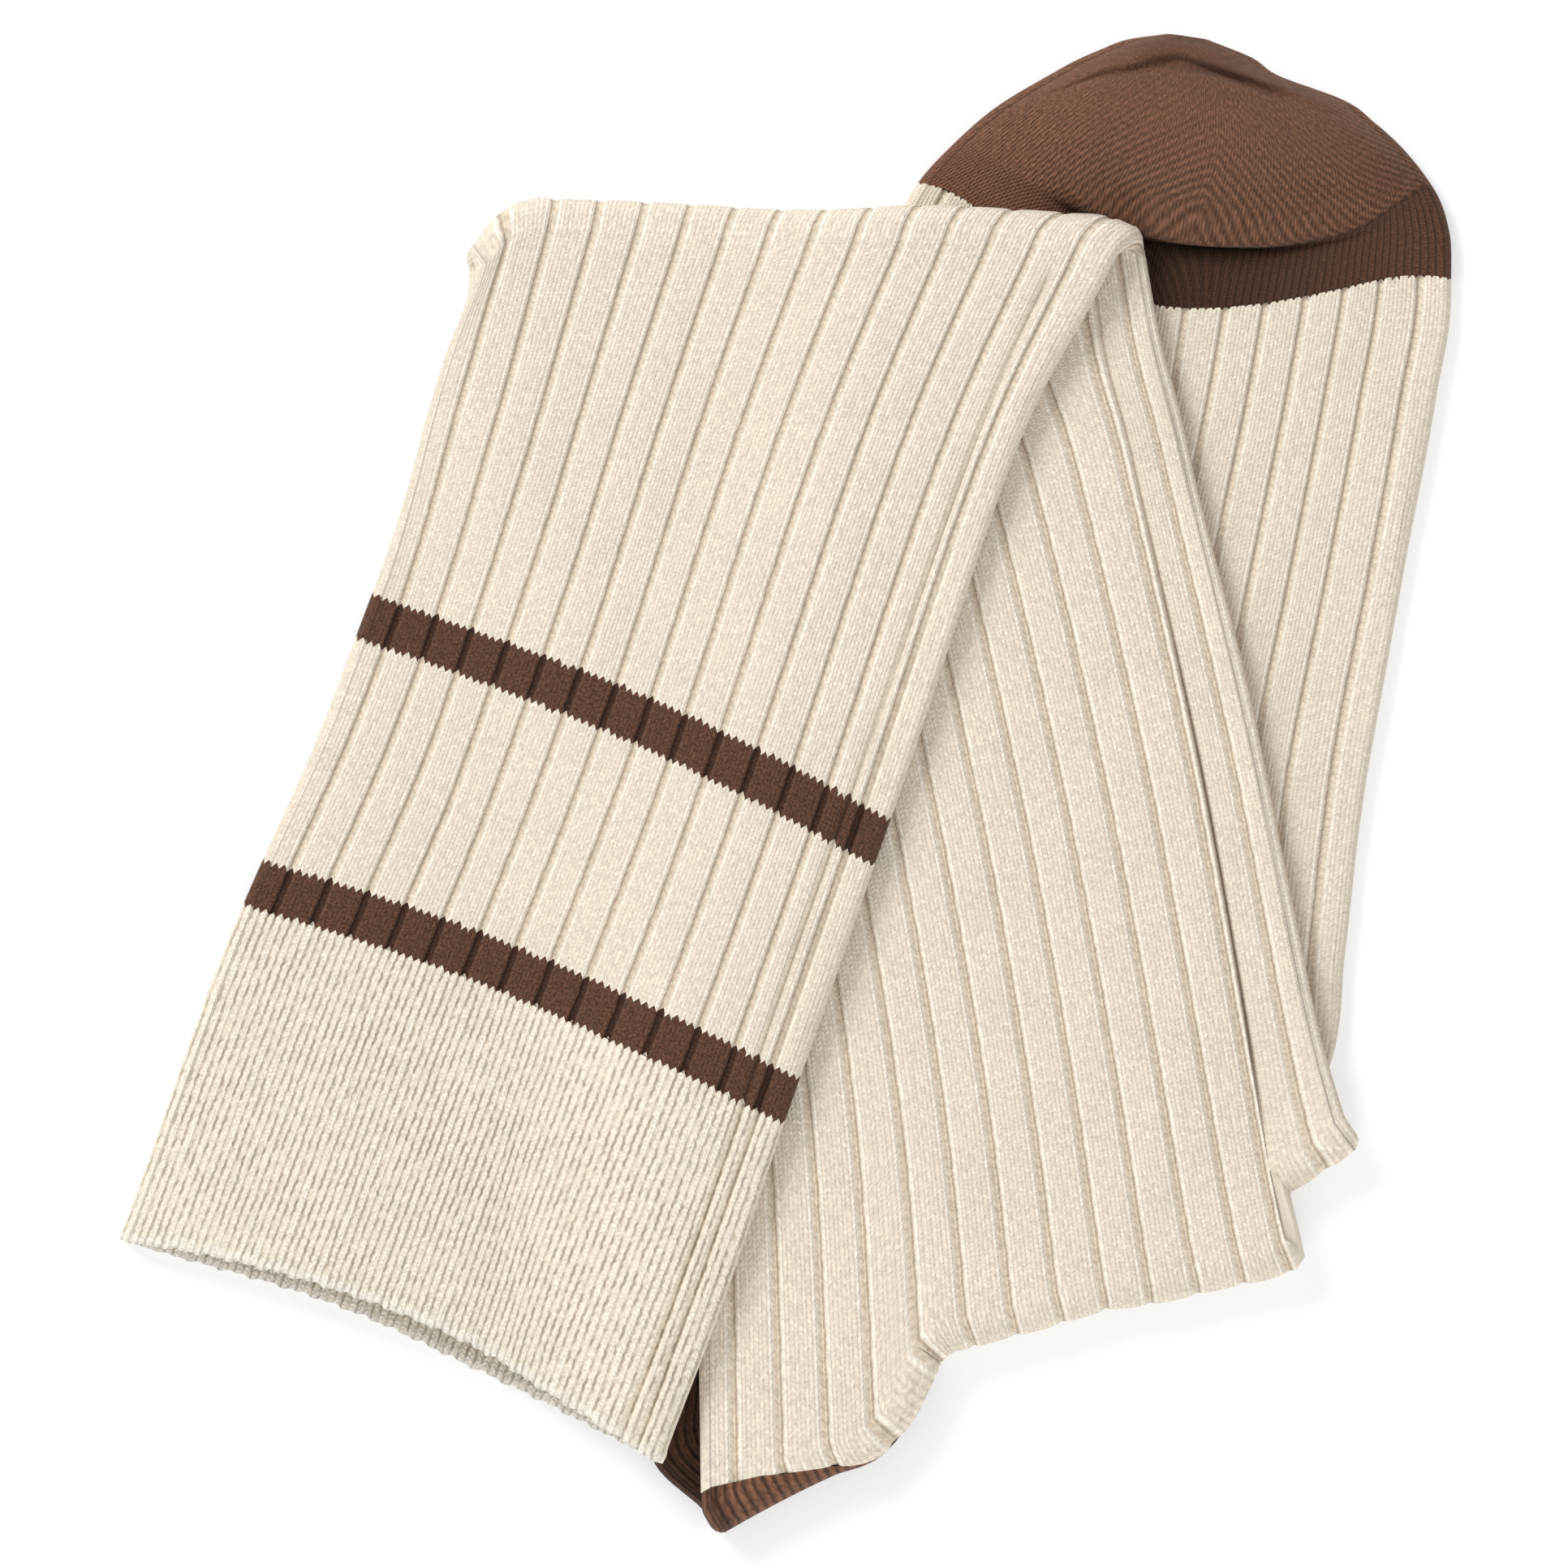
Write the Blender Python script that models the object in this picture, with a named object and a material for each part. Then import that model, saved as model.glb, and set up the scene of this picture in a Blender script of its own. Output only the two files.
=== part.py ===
"""A ribbed mid-calf sock, lying on a surface and folded in three.

The sock is one long knitted tube. It is laid flat, the leg is folded back over the foot along
the ankle, and the upper leg is folded back again over the lower leg. Each colour or knit of the
tube is its own hollow solid: cuff, two stripes, the band between them, leg, heel, foot and toe.

Metres, +Z up. The origin is the middle of the bounding box, on the surface that the sock lies on.
The photograph's up is +Y and its right is +X.
"""

import math
from collections import namedtuple

import bmesh
import bpy
import numpy as np

# Sizes along the tube
UPPER_LENGTH = 0.177
LOWER_LENGTH = 0.166
FOOT_LENGTH = 0.1635
TOE_LENGTH = 0.0285
CUFF_HEIGHT = 0.052
STRIPE_HEIGHT = 0.007
BAND_HEIGHT = 0.0345

# Sizes across the tube
LEG_WIDTH = 0.084
FOOT_WIDTH = 0.080
THICKNESS = 0.0036
WALL = 0.0012
RIBS_PER_FACE = 14
GROOVE_WIDTH = 0.0018
GROOVE_DEPTH = 0.0004

# How the layers lie on each other
LAYER_GAP = 0.0008
FOLD_LOFT = 0.0012
LOFT_REACH = 0.008
DRAPE_REACH = 0.028
TOP_SHIFT_LEFT = -0.0031
TOP_SHIFT_RIGHT = 0.0053
UPPER_LEAN = math.radians(20.4)
LOWER_LEAN = math.radians(11.1)
FOOT_LEAN = math.radians(8.4)

# Local shape
MOUTH_GAPE = 0.0060
MOUTH_DEPTH = 0.046
FRONT_HEM_BOW = 0.0052
BACK_HEM_BOW = 0.0030
STRIPE_BOW = 0.0023
FOLD_DIP = 0.012
TOP_DIP_REACH = 0.018
ANKLE_DIP_REACH = 0.030
PLEAT_DEPTH = 0.0006
PLEAT_LIFT = 0.0103
PLEAT_SWAY = 0.0026
TOE_BOW = 0.0115
TOE_PUFF = 0.0066
HEEL_RISE = 0.0052
HEEL_DROP = 0.046
HEEL_END = 0.001
JOIN_GAP = 0.0003

# Each row is a section line of the flat tube. along is a share of the panel's length. left and
# right are where the line's ends lie across the panel, and the slips how far the ends lie ahead
# of the line's middle, all as shares of the panel's width.
Section = namedtuple("Section", "along left right left_slip right_slip")

UPPER_SECTIONS = (
    Section(0.00, -0.520, 0.515, 0.013, -0.013),
    Section(0.33, -0.520, 0.507, 0.014, -0.014),
    Section(0.45, -0.502, 0.501, 0.020, -0.020),
    Section(0.57, -0.500, 0.496, 0.027, -0.027),
    Section(0.83, -0.505, 0.480, -0.146, 0.146),
    Section(1.00, -0.512, 0.509, -0.210, 0.143),
)
LOWER_SECTIONS = (
    Section(0.05, -0.629, 0.568, -0.068, 0.161),
    Section(0.24, -0.530, 0.576, -0.037, 0.037),
    Section(0.52, -0.500, 0.597, 0.000, 0.000),
    Section(0.79, -0.530, 0.584, 0.050, -0.050),
    Section(1.00, -0.625, 0.614, 0.203, -0.186),
)
FOOT_SECTIONS = (
    Section(0.03, -0.642, 0.526, -0.418, 0.395),
    Section(0.07, -0.664, 0.511, -0.396, 0.396),
    Section(0.22, -0.664, 0.489, -0.298, 0.298),
    Section(0.43, -0.646, 0.474, -0.198, 0.198),
    Section(0.68, -0.590, 0.490, -0.110, 0.110),
    Section(0.84, -0.547, 0.498, -0.078, 0.078),
    Section(1.00, -0.510, 0.495, 0.016, -0.016),
)
TOE_SECTIONS = (
    Section(0.23, -0.468, 0.478, 0.010, -0.010),
    Section(0.45, -0.404, 0.440, 0.010, -0.010),
    Section(0.70, -0.310, 0.322, 0.000, 0.000),
    Section(0.80, -0.262, 0.250, 0.000, 0.000),
    Section(0.87, -0.221, 0.132, 0.000, 0.000),
    Section(0.95, -0.165, 0.068, 0.000, 0.000),
    Section(1.00, -0.095, -0.012, 0.000, 0.000),
)

# How far each fold hangs below a straight line, across the tube from left to right
Dip = namedtuple("Dip", "across drop")
TOP_DIPS = (
    Dip(0.000, 0.20),
    Dip(0.030, 0.06),
    Dip(0.070, 0.00),
    Dip(0.150, -0.03),
    Dip(0.240, -0.08),
    Dip(0.330, -0.04),
    Dip(0.500, 0.00),
    Dip(0.750, 0.00),
    Dip(0.893, 0.03),
    Dip(0.950, 0.06),
    Dip(1.000, 0.22),
)
ANKLE_DIPS = (
    Dip(0.000, 0.06),
    Dip(0.107, 0.13),
    Dip(0.179, 0.14),
    Dip(0.250, 0.17),
    Dip(0.290, 0.12),
    Dip(0.340, -0.20),
    Dip(0.395, -0.62),
    Dip(0.450, -0.50),
    Dip(0.504, -0.28),
    Dip(0.560, -0.16),
    Dip(0.610, -0.06),
    Dip(0.670, 0.12),
    Dip(0.780, 0.40),
    Dip(0.890, 0.66),
    Dip(0.940, 0.60),
    Dip(1.000, 0.45),
)
PLEAT_LEFT = 0.906
PLEAT_RIGHT = 0.922

# The toe's top, from the edge of the brown yarn to the tip: flat up to the seam, then puffed up,
# with a crease before the tip's roll
Rise = namedtuple("Rise", "along height")
TOE_RISES = (
    Rise(0.00, 0.00),
    Rise(0.18, 0.03),
    Rise(0.26, 0.02),
    Rise(0.33, 0.62),
    Rise(0.44, 0.88),
    Rise(0.58, 1.00),
    Rise(0.74, 0.88),
    Rise(0.83, 0.64),
    Rise(0.885, 0.42),
    Rise(0.94, 0.44),
    Rise(0.98, 0.24),
    Rise(1.00, 0.00),
)
HEEL_RIBS = 4
TOE_COLUMNS = 12
SOLE_COLUMNS = 8

BEIGE = (0.753, 0.671, 0.546)
BROWN = (0.120, 0.054, 0.032)

# The step that a direction is worked out from, and a distance at which a fold has no effect
PROBE = WALL / 6
FAR = UPPER_LENGTH + LOWER_LENGTH

LAYER_STEP = THICKNESS + LAYER_GAP
FOLD_SPAN = math.pi * (LAYER_STEP + FOLD_LOFT) / 2
TOP_START = UPPER_LENGTH
TOP_END = TOP_START + FOLD_SPAN
ANKLE_START = TOP_END + LOWER_LENGTH
ANKLE_END = ANKLE_START + FOLD_SPAN
ANKLE_MIDDLE = (ANKLE_START + ANKLE_END) / 2
TOE_START = ANKLE_END + FOOT_LENGTH
TIP = TOE_START + TOE_LENGTH


def smooth_rows(stations, values, at):
    """A smooth curve through the rows of values, read at each of the distances in at."""
    at = np.clip(at, stations[0], stations[-1])
    slopes = np.gradient(values, stations, axis=0)
    row = np.clip(np.searchsorted(stations, at, side="right") - 1, 0, len(stations) - 2)
    length = (stations[row + 1] - stations[row])[..., None]
    t = (at[..., None] - stations[row][..., None]) / length
    return (
        (2 * t**3 - 3 * t**2 + 1) * values[row]
        + (t**3 - 2 * t**2 + t) * length * slopes[row]
        + (3 * t**2 - 2 * t**3) * values[row + 1]
        + (t**3 - t**2) * length * slopes[row + 1]
    )


def smooth_step(share):
    share = np.clip(share, 0.0, 1.0)
    return share * share * (3 - 2 * share)


def unit(vectors):
    return vectors / np.linalg.norm(vectors, axis=-1, keepdims=True)


def section_ends(sections, start, axis, across, length, width):
    """The plan positions of the two ends of each section line, as rows of left x, y, right x, y."""
    rows = []
    for section in sections:
        middle = start + axis * section.along * length
        left = middle + (across * section.left + axis * section.left_slip) * width
        right = middle + (across * section.right + axis * section.right_slip) * width
        rows.append((*left, *right))
    return rows


def panel_layout():
    """The flat panels, as (distances, section ends): upper leg, lower leg, and foot with toe."""
    upper_axis = np.array((math.sin(UPPER_LEAN), math.cos(UPPER_LEAN)))
    upper_across = np.array((math.cos(UPPER_LEAN), -math.sin(UPPER_LEAN)))
    lower_axis = np.array((math.sin(LOWER_LEAN), -math.cos(LOWER_LEAN)))
    lower_across = np.array((math.cos(LOWER_LEAN), math.sin(LOWER_LEAN)))
    foot_axis = np.array((math.sin(FOOT_LEAN), math.cos(FOOT_LEAN)))
    foot_across = np.array((math.cos(FOOT_LEAN), -math.sin(FOOT_LEAN)))
    hem = np.zeros(2)
    top_fold = hem + upper_axis * UPPER_LENGTH
    ankle = top_fold + lower_axis * LOWER_LENGTH
    toe = ankle + foot_axis * FOOT_LENGTH

    upper = section_ends(
        UPPER_SECTIONS, hem, upper_axis, upper_across, UPPER_LENGTH, LEG_WIDTH
    )
    lower = section_ends(
        LOWER_SECTIONS, top_fold, lower_axis, lower_across, LOWER_LENGTH, LEG_WIDTH
    )
    foot = section_ends(
        FOOT_SECTIONS, ankle, foot_axis, foot_across, FOOT_LENGTH, FOOT_WIDTH
    )
    tip = section_ends(TOE_SECTIONS, toe, foot_axis, foot_across, TOE_LENGTH, FOOT_WIDTH)

    top_left = np.array(upper[-1][:2]) + lower_across * TOP_SHIFT_LEFT
    top_right = np.array(upper[-1][2:]) + lower_across * TOP_SHIFT_RIGHT
    lower = [(*top_left, *top_right)] + lower

    upper_at = [row.along * UPPER_LENGTH for row in UPPER_SECTIONS]
    lower_at = [0.0] + [row.along * LOWER_LENGTH for row in LOWER_SECTIONS]
    foot_at = [0.0] + [row.along * FOOT_LENGTH for row in FOOT_SECTIONS]
    foot_at += [FOOT_LENGTH + row.along * TOE_LENGTH for row in TOE_SECTIONS]
    return (
        (np.array(upper_at), np.array(upper)),
        (np.array(lower_at), np.array(lower)),
        (np.array(foot_at), np.array([lower[-1]] + foot + tip)),
    )


UPPER_PANEL, LOWER_PANEL, FOOT_PANEL = panel_layout()


def left_edge(panel):
    """The left edge of a panel as x against y, from the lowest point up."""
    stations, ends = panel
    edge = smooth_rows(stations, ends, np.linspace(0, stations[-1], 60))[:, :2]
    order = np.argsort(edge[:, 1])
    return edge[order, 1], edge[order, 0]


FOOT_EDGE = left_edge(FOOT_PANEL)
LEG_EDGE = left_edge(LOWER_PANEL)


def carried(plan, edge):
    """1 where a layer lies on the one whose left edge is given, falling to 0 beside it."""
    inside = plan[..., 0] - np.interp(plan[..., 1], edge[0], edge[1])
    return smooth_step(1 + inside / DRAPE_REACH)


def plan_points(panel, distance, across):
    ends = smooth_rows(panel[0], panel[1], distance)
    share = (1 + across)[..., None] / 2
    return ends[..., :2] + (ends[..., 2:] - ends[..., :2]) * share


def dip_profile(dips, across):
    rows = np.array(dips)
    return smooth_rows(rows[:, 0], rows[:, 1:], (1 + across) / 2)[..., 0] * FOLD_DIP


def ankle_shift(across, distance):
    """How far, to the right and up, a point near the ankle fold is drawn off its straight line."""
    past_pleat = smooth_step(((1 + across) / 2 - PLEAT_LEFT) / (PLEAT_RIGHT - PLEAT_LEFT))
    right = -PLEAT_SWAY * past_pleat
    up = PLEAT_LIFT * past_pleat - dip_profile(ANKLE_DIPS, across)
    reach = np.exp(-((distance / ANKLE_DIP_REACH) ** 2))
    return np.stack((right * reach, up * reach), axis=1)


def top_drop(across, distance):
    """How far a point near the top fold is drawn down, at a distance from that fold."""
    return dip_profile(TOP_DIPS, across) * np.exp(-((distance / TOP_DIP_REACH) ** 2))


def half_width(s):
    """Half the length of the section line at each distance s along the tube."""
    size = np.zeros(s.shape)
    zones = (
        (s < TOP_END, UPPER_PANEL, s),
        ((s >= TOP_END) & (s < ANKLE_END), LOWER_PANEL, s - TOP_END),
        (s >= ANKLE_END, FOOT_PANEL, s - ANKLE_END),
    )
    for here, panel, distance in zones:
        ends = smooth_rows(panel[0], panel[1], distance[here])
        size[here] = np.linalg.norm(ends[:, 2:] - ends[:, :2], axis=1) / 2
    return size


def toe_share(s, across):
    """0 at the edge of the toe's yarn, which bows towards the heel, and 1 at the tip."""
    bow = TOE_BOW * (1 - across**2) ** 1.8
    return (s - TOE_START + bow) / (TOE_LENGTH + bow)


def thickness(s, across):
    """The flat tube's outer thickness: more at the gaping mouth and in the puffed toe."""
    gape = MOUTH_GAPE * (1 - smooth_step(s / MOUTH_DEPTH)) * (1 - across**2)
    rises = np.array(TOE_RISES)
    dome = np.interp(toe_share(s, across), rises[:, 0], rises[:, 1])
    flat = 1 - THICKNESS / 2 / np.maximum(half_width(s), THICKNESS)
    crown = (1 - np.minimum(1, np.abs(across) / flat) ** 2) ** 0.6
    return THICKNESS + gape + TOE_PUFF * dome * crown


def rolled(start, end, outward, upper_z, lower_z, turn):
    """Points on the half roll that joins two layers, from start on the upper to end on the lower."""
    share = (turn / math.pi)[:, None]
    radius = ((upper_z - lower_z) / 2)[:, None]
    plan = start + (end - start) * smooth_step(share) + outward * radius * np.sin(turn)[:, None]
    height = (upper_z + lower_z)[:, None] / 2 + radius * np.cos(turn)[:, None]
    return np.hstack((plan, height))


def heading(panel, distance, across):
    """The tube's direction in plan at a distance along a panel."""
    ahead = plan_points(panel, np.full(across.shape, distance + PROBE), across)
    behind = plan_points(panel, np.full(across.shape, distance - PROBE), across)
    return unit(ahead - behind)


def top_roll(turn, across, half):
    """The top fold, where the ribs turn over without a kink in plan."""
    share = (turn / math.pi)[:, None]
    start = plan_points(UPPER_PANEL, np.full(across.shape, UPPER_LENGTH), across)
    end = plan_points(LOWER_PANEL, np.zeros(across.shape), across)
    incoming = heading(UPPER_PANEL, UPPER_LENGTH, across)
    outgoing = heading(LOWER_PANEL, 0.0, across)
    start[:, 1] -= top_drop(across, 0.0)
    end[:, 1] -= top_drop(across, 0.0)
    outward = unit(incoming * (1 - share) - outgoing * share)
    upper_z = upper_height(start, 0.0) + half
    lower_z = lower_height(end, FAR) + half
    return rolled(start, end, outward, upper_z, lower_z, turn)


def ankle_roll(turn, across, half):
    """The ankle fold, which turns under at right angles to its own line."""
    ends = smooth_rows(LOWER_PANEL[0], LOWER_PANEL[1], np.full(across.shape, LOWER_LENGTH))
    line = unit(ends[:, 2:] - ends[:, :2])
    outward = np.stack((line[:, 1], -line[:, 0]), axis=1)
    at = plan_points(LOWER_PANEL, np.full(across.shape, LOWER_LENGTH), across)
    at += ankle_shift(across, 0.0)
    return rolled(at, at, outward, lower_height(at, 0.0) + half, half, turn)


def upper_height(plan, from_fold):
    loft = FOLD_LOFT * np.exp(-from_fold / LOFT_REACH)
    return LAYER_STEP * (carried(plan, FOOT_EDGE) + carried(plan, LEG_EDGE)) + loft


def lower_height(plan, from_fold):
    loft = FOLD_LOFT * np.exp(-from_fold / LOFT_REACH)
    return LAYER_STEP * carried(plan, FOOT_EDGE) + loft


def middle_surface(s, across):
    """The middle of the flattened tube, s metres from the hem. across runs from -1 to 1."""
    s, across = np.broadcast_arrays(s, across)
    shape = s.shape
    s = s.ravel()
    across = across.ravel()
    points = np.zeros((len(s), 3))
    half = thickness(s, across) / 2

    here = s < TOP_START
    plan = plan_points(UPPER_PANEL, s[here], across[here])
    plan[:, 1] -= top_drop(across[here], TOP_START - s[here])
    height = upper_height(plan, TOP_START - s[here]) + half[here]
    points[here] = np.hstack((plan, height[:, None]))

    here = (s >= TOP_START) & (s < TOP_END)
    turn = (s[here] - TOP_START) / FOLD_SPAN * math.pi
    points[here] = top_roll(turn, across[here], half[here])

    here = (s >= TOP_END) & (s < ANKLE_START)
    plan = plan_points(LOWER_PANEL, s[here] - TOP_END, across[here])
    plan[:, 1] -= top_drop(across[here], s[here] - TOP_END)
    plan += ankle_shift(across[here], ANKLE_START - s[here])
    height = lower_height(plan, ANKLE_START - s[here]) + half[here]
    points[here] = np.hstack((plan, height[:, None]))

    here = (s >= ANKLE_START) & (s < ANKLE_END)
    turn = (s[here] - ANKLE_START) / FOLD_SPAN * math.pi
    points[here] = ankle_roll(turn, across[here], half[here])

    here = s >= ANKLE_END
    plan = plan_points(FOOT_PANEL, s[here] - ANKLE_END, across[here])
    plan += ankle_shift(across[here], s[here] - ANKLE_END)
    points[here] = np.hstack((plan, half[here][:, None]))
    return points.reshape(*shape, 3)


def surface_frame(s, across):
    """The middle point, the direction to the right and the tube's own upward direction."""
    across_step = 0.004
    ahead = middle_surface(np.minimum(s + PROBE, TIP), across)
    behind = middle_surface(np.maximum(s - PROBE, 0.0), across)
    right = middle_surface(s, np.minimum(across + across_step, 1.0))
    left = middle_surface(s, np.maximum(across - across_step, -1.0))
    rightward = unit(right - left)
    upward = unit(np.cross(rightward, ahead - behind))
    on_floor = s >= ANKLE_END
    upward[on_floor] = (0.0, 0.0, 1.0)
    rightward[on_floor, 2] = 0.0
    return middle_surface(s, across), unit(rightward), upward


# A column is one line along the tube. wall is 1 on the side that faces up at the cuff, -1 on the
# other and 0 on a rounded edge, where angle turns from wall -1 to wall 1. depth is how far the
# line lies below the ribs' tops, and inner is true where the inside surface has a line too.
Column = namedtuple("Column", "across wall angle depth inner")


LIP = GROOVE_WIDTH / LEG_WIDTH
HEEL_SHARE = (HEEL_RIBS + 0.5) / RIBS_PER_FACE - LIP / 2


def ribbed_wall(wall, extra=(), depth=GROOVE_DEPTH):
    """Columns from left to right: both lips and the bottom of each groove."""
    columns = [Column(-1.0, wall, 0.0, 0.0, True)]
    for rib in range(RIBS_PER_FACE):
        centre = -1 + 2 * (rib + 0.5) / RIBS_PER_FACE
        lined = rib % 2 == 0 or rib < RIBS_PER_FACE / 2
        columns.append(Column(centre - LIP, wall, 0.0, 0.0, rib == HEEL_RIBS))
        columns.append(Column(centre, wall, 0.0, depth, lined))
        columns.append(Column(centre + LIP, wall, 0.0, 0.0, False))
    columns.append(Column(1.0, wall, 0.0, 0.0, True))
    for across, depth in extra:
        columns = [c for c in columns if abs(c.across - across) > LIP / 2]
        columns.append(Column(across, wall, 0.0, depth, True))
    return sorted(columns, key=lambda column: column.across)


def plain_wall(wall, count):
    return [
        Column(-1 + 2 * step / count, wall, 0.0, 0.0, True) for step in range(count + 1)
    ]


def edge_columns(side):
    """The rounded edge at the left (side -1) or right (side 1), from wall -1 to wall 1."""
    return [
        Column(float(side), 0, math.radians(angle), 0.0, True)
        for angle in (-54, -18, 18, 54)
    ]


def ring(top, bottom):
    """All columns round the tube: left edge, top wall, right edge, bottom wall."""
    return edge_columns(-1) + top + edge_columns(1)[::-1] + bottom[::-1]


def tube_points(row, columns, depths):
    """The points of one ring. row gives the distance along the tube from across and wall."""
    across = np.array([column.across for column in columns])
    wall = np.array([column.wall for column in columns])
    angle = np.array([column.angle for column in columns])
    s = row(across, wall)
    radius = THICKNESS / 2
    inset = across * (1 - radius / np.maximum(half_width(s), THICKNESS))
    middle, rightward, upward = surface_frame(s, inset)
    out = np.where(across < 0, -1.0, 1.0)[:, None] * rightward
    round_edge = out * np.cos(angle)[:, None] + upward * np.sin(angle)[:, None]
    flat = upward * wall[:, None] * (thickness(s, inset) / 2 - depths)[:, None]
    edge = round_edge * (radius - depths)[:, None]
    return middle + np.where((wall == 0)[:, None], edge, flat)


def straight(distance):
    return lambda across, wall: np.full(across.shape, distance)


def bowed(distance, front, back):
    """A row whose middle lies ahead, by front on wall 1 and by back on wall -1."""
    return lambda across, wall: distance + (1 - across**2) * np.where(
        wall < 0, back, front
    )


def hem_row():
    """The open end: a bow in front, and behind it a narrower one that lies towards the left."""

    def row(across, wall):
        front = FRONT_HEM_BOW * (1 - across**2)
        back = BACK_HEM_BOW * (1 - across**2) ** 2 * (1 - 0.8 * across)
        return np.where(wall < 0, back, front)

    return row


def shifted(row, by):
    return lambda across, wall: row(across, wall) + by


def between(first, last, shares):
    return [
        (lambda across, wall, share=share: first(across, wall) * (1 - share)
         + last(across, wall) * share)
        for share in shares
    ]


def heel_edge(extent, way):
    """The heel's border: widest at the tube's left edge and closing at the heel's end."""

    def row(across, wall):
        share = (1 + across) / 2
        reach = HEEL_END + extent * np.clip(1 - share / HEEL_SHARE, 0, 1)
        return ANKLE_MIDDLE + way * np.where(share > HEEL_SHARE + LIP / 8, 0.0, reach)

    return row


def toe_row(share):
    def row(across, wall):
        bow = TOE_BOW * (1 - across**2) ** 1.8
        return TOE_START - bow + share * (TOE_LENGTH + bow)

    return row


def tidy_mesh(name, vertices, faces):
    mesh = bpy.data.meshes.new(name)
    mesh.from_pydata([tuple(vertex) for vertex in vertices], [], faces)
    work = bmesh.new()
    work.from_mesh(mesh)
    bmesh.ops.recalc_face_normals(work, faces=work.faces)
    bmesh.ops.triangulate(work, faces=work.faces)
    work.to_mesh(mesh)
    work.free()
    mesh.shade_smooth()
    mesh.set_sharp_from_angle(angle=math.radians(35))
    return mesh


def knitted_shell(name, rows, columns, closed=True, capped=False):
    """A hollow solid between an outside surface with ribs and a plain inside one."""
    inner = [index for index, column in enumerate(columns) if column.inner]
    inner_columns = [columns[index] for index in inner]
    outer_depths = np.array([column.depth for column in columns])
    inner_depths = np.full(len(inner), WALL)
    outer_rows = [tube_points(row, columns, outer_depths) for row in rows]
    inner_rows = [tube_points(row, inner_columns, inner_depths) for row in rows]
    if capped:
        inner_rows[-1] = tube_points(shifted(rows[-1], -WALL), inner_columns, inner_depths)
    vertices = np.vstack(outer_rows + inner_rows)
    count = len(columns)
    inner_start = count * len(rows)

    def outer_at(row, column):
        return row * count + column % count

    def inner_at(row, column):
        return inner_start + row * len(inner) + column % len(inner)

    faces = []
    for row in range(len(rows) - 1):
        for column in range(count if closed else count - 1):
            faces.append(
                (
                    outer_at(row, column),
                    outer_at(row, column + 1),
                    outer_at(row + 1, column + 1),
                    outer_at(row + 1, column),
                )
            )
        for column in range(len(inner) if closed else len(inner) - 1):
            faces.append(
                (
                    inner_at(row, column),
                    inner_at(row + 1, column),
                    inner_at(row + 1, column + 1),
                    inner_at(row, column + 1),
                )
            )

    def rim(row):
        for place in range(len(inner) if closed else len(inner) - 1):
            first = inner[place]
            last = inner[(place + 1) % len(inner)]
            span = (last - first) % count
            outside = [outer_at(row, first + step) for step in range(span + 1)]
            faces.append(
                (*outside, inner_at(row, place + 1), inner_at(row, place))
            )

    rim(0)
    last_row = len(rows) - 1
    if capped:
        faces.append([outer_at(last_row, column) for column in range(count)])
        faces.append([inner_at(last_row, column) for column in range(len(inner))])
    else:
        rim(last_row)
    if not closed:
        for row in range(last_row):
            for outer_end, inner_end in ((0, 0), (count - 1, len(inner) - 1)):
                faces.append(
                    (
                        outer_at(row, outer_end),
                        outer_at(row + 1, outer_end),
                        inner_at(row + 1, inner_end),
                        inner_at(row, inner_end),
                    )
                )
    return name, vertices, faces


def ribbed_ring():
    """Ribs all round, with the side pleat along the right edge."""
    pleat = (
        (2 * PLEAT_LEFT - 1, 0.0),
        (PLEAT_LEFT + PLEAT_RIGHT - 1, PLEAT_DEPTH),
        (2 * PLEAT_RIGHT - 1, 0.0),
    )
    return ring(ribbed_wall(1, pleat), ribbed_wall(-1, pleat))


def heel_wall(wall):
    columns = ribbed_wall(wall, depth=0.0)
    return [c for c in columns if (1 + c.across) / 2 < HEEL_SHARE + LIP / 8]


def foot_ring():
    """Ribs over the instep, and a plain sole that lies on the surface."""
    beside_heel = ribbed_wall(-1, depth=0.0)[: 3 * HEEL_RIBS + 4]
    step = (1 - beside_heel[-1].across) / SOLE_COLUMNS
    sole = [
        Column(beside_heel[-1].across + step * place, -1, 0.0, 0.0, True)
        for place in range(1, SOLE_COLUMNS + 1)
    ]
    return ring(ribbed_wall(1), beside_heel + sole)


def heel_strip():
    """Columns from the heel's end on the lower wall, round the left edge, to its upper end."""
    return heel_wall(-1)[::-1] + edge_columns(-1) + heel_wall(1)


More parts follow.
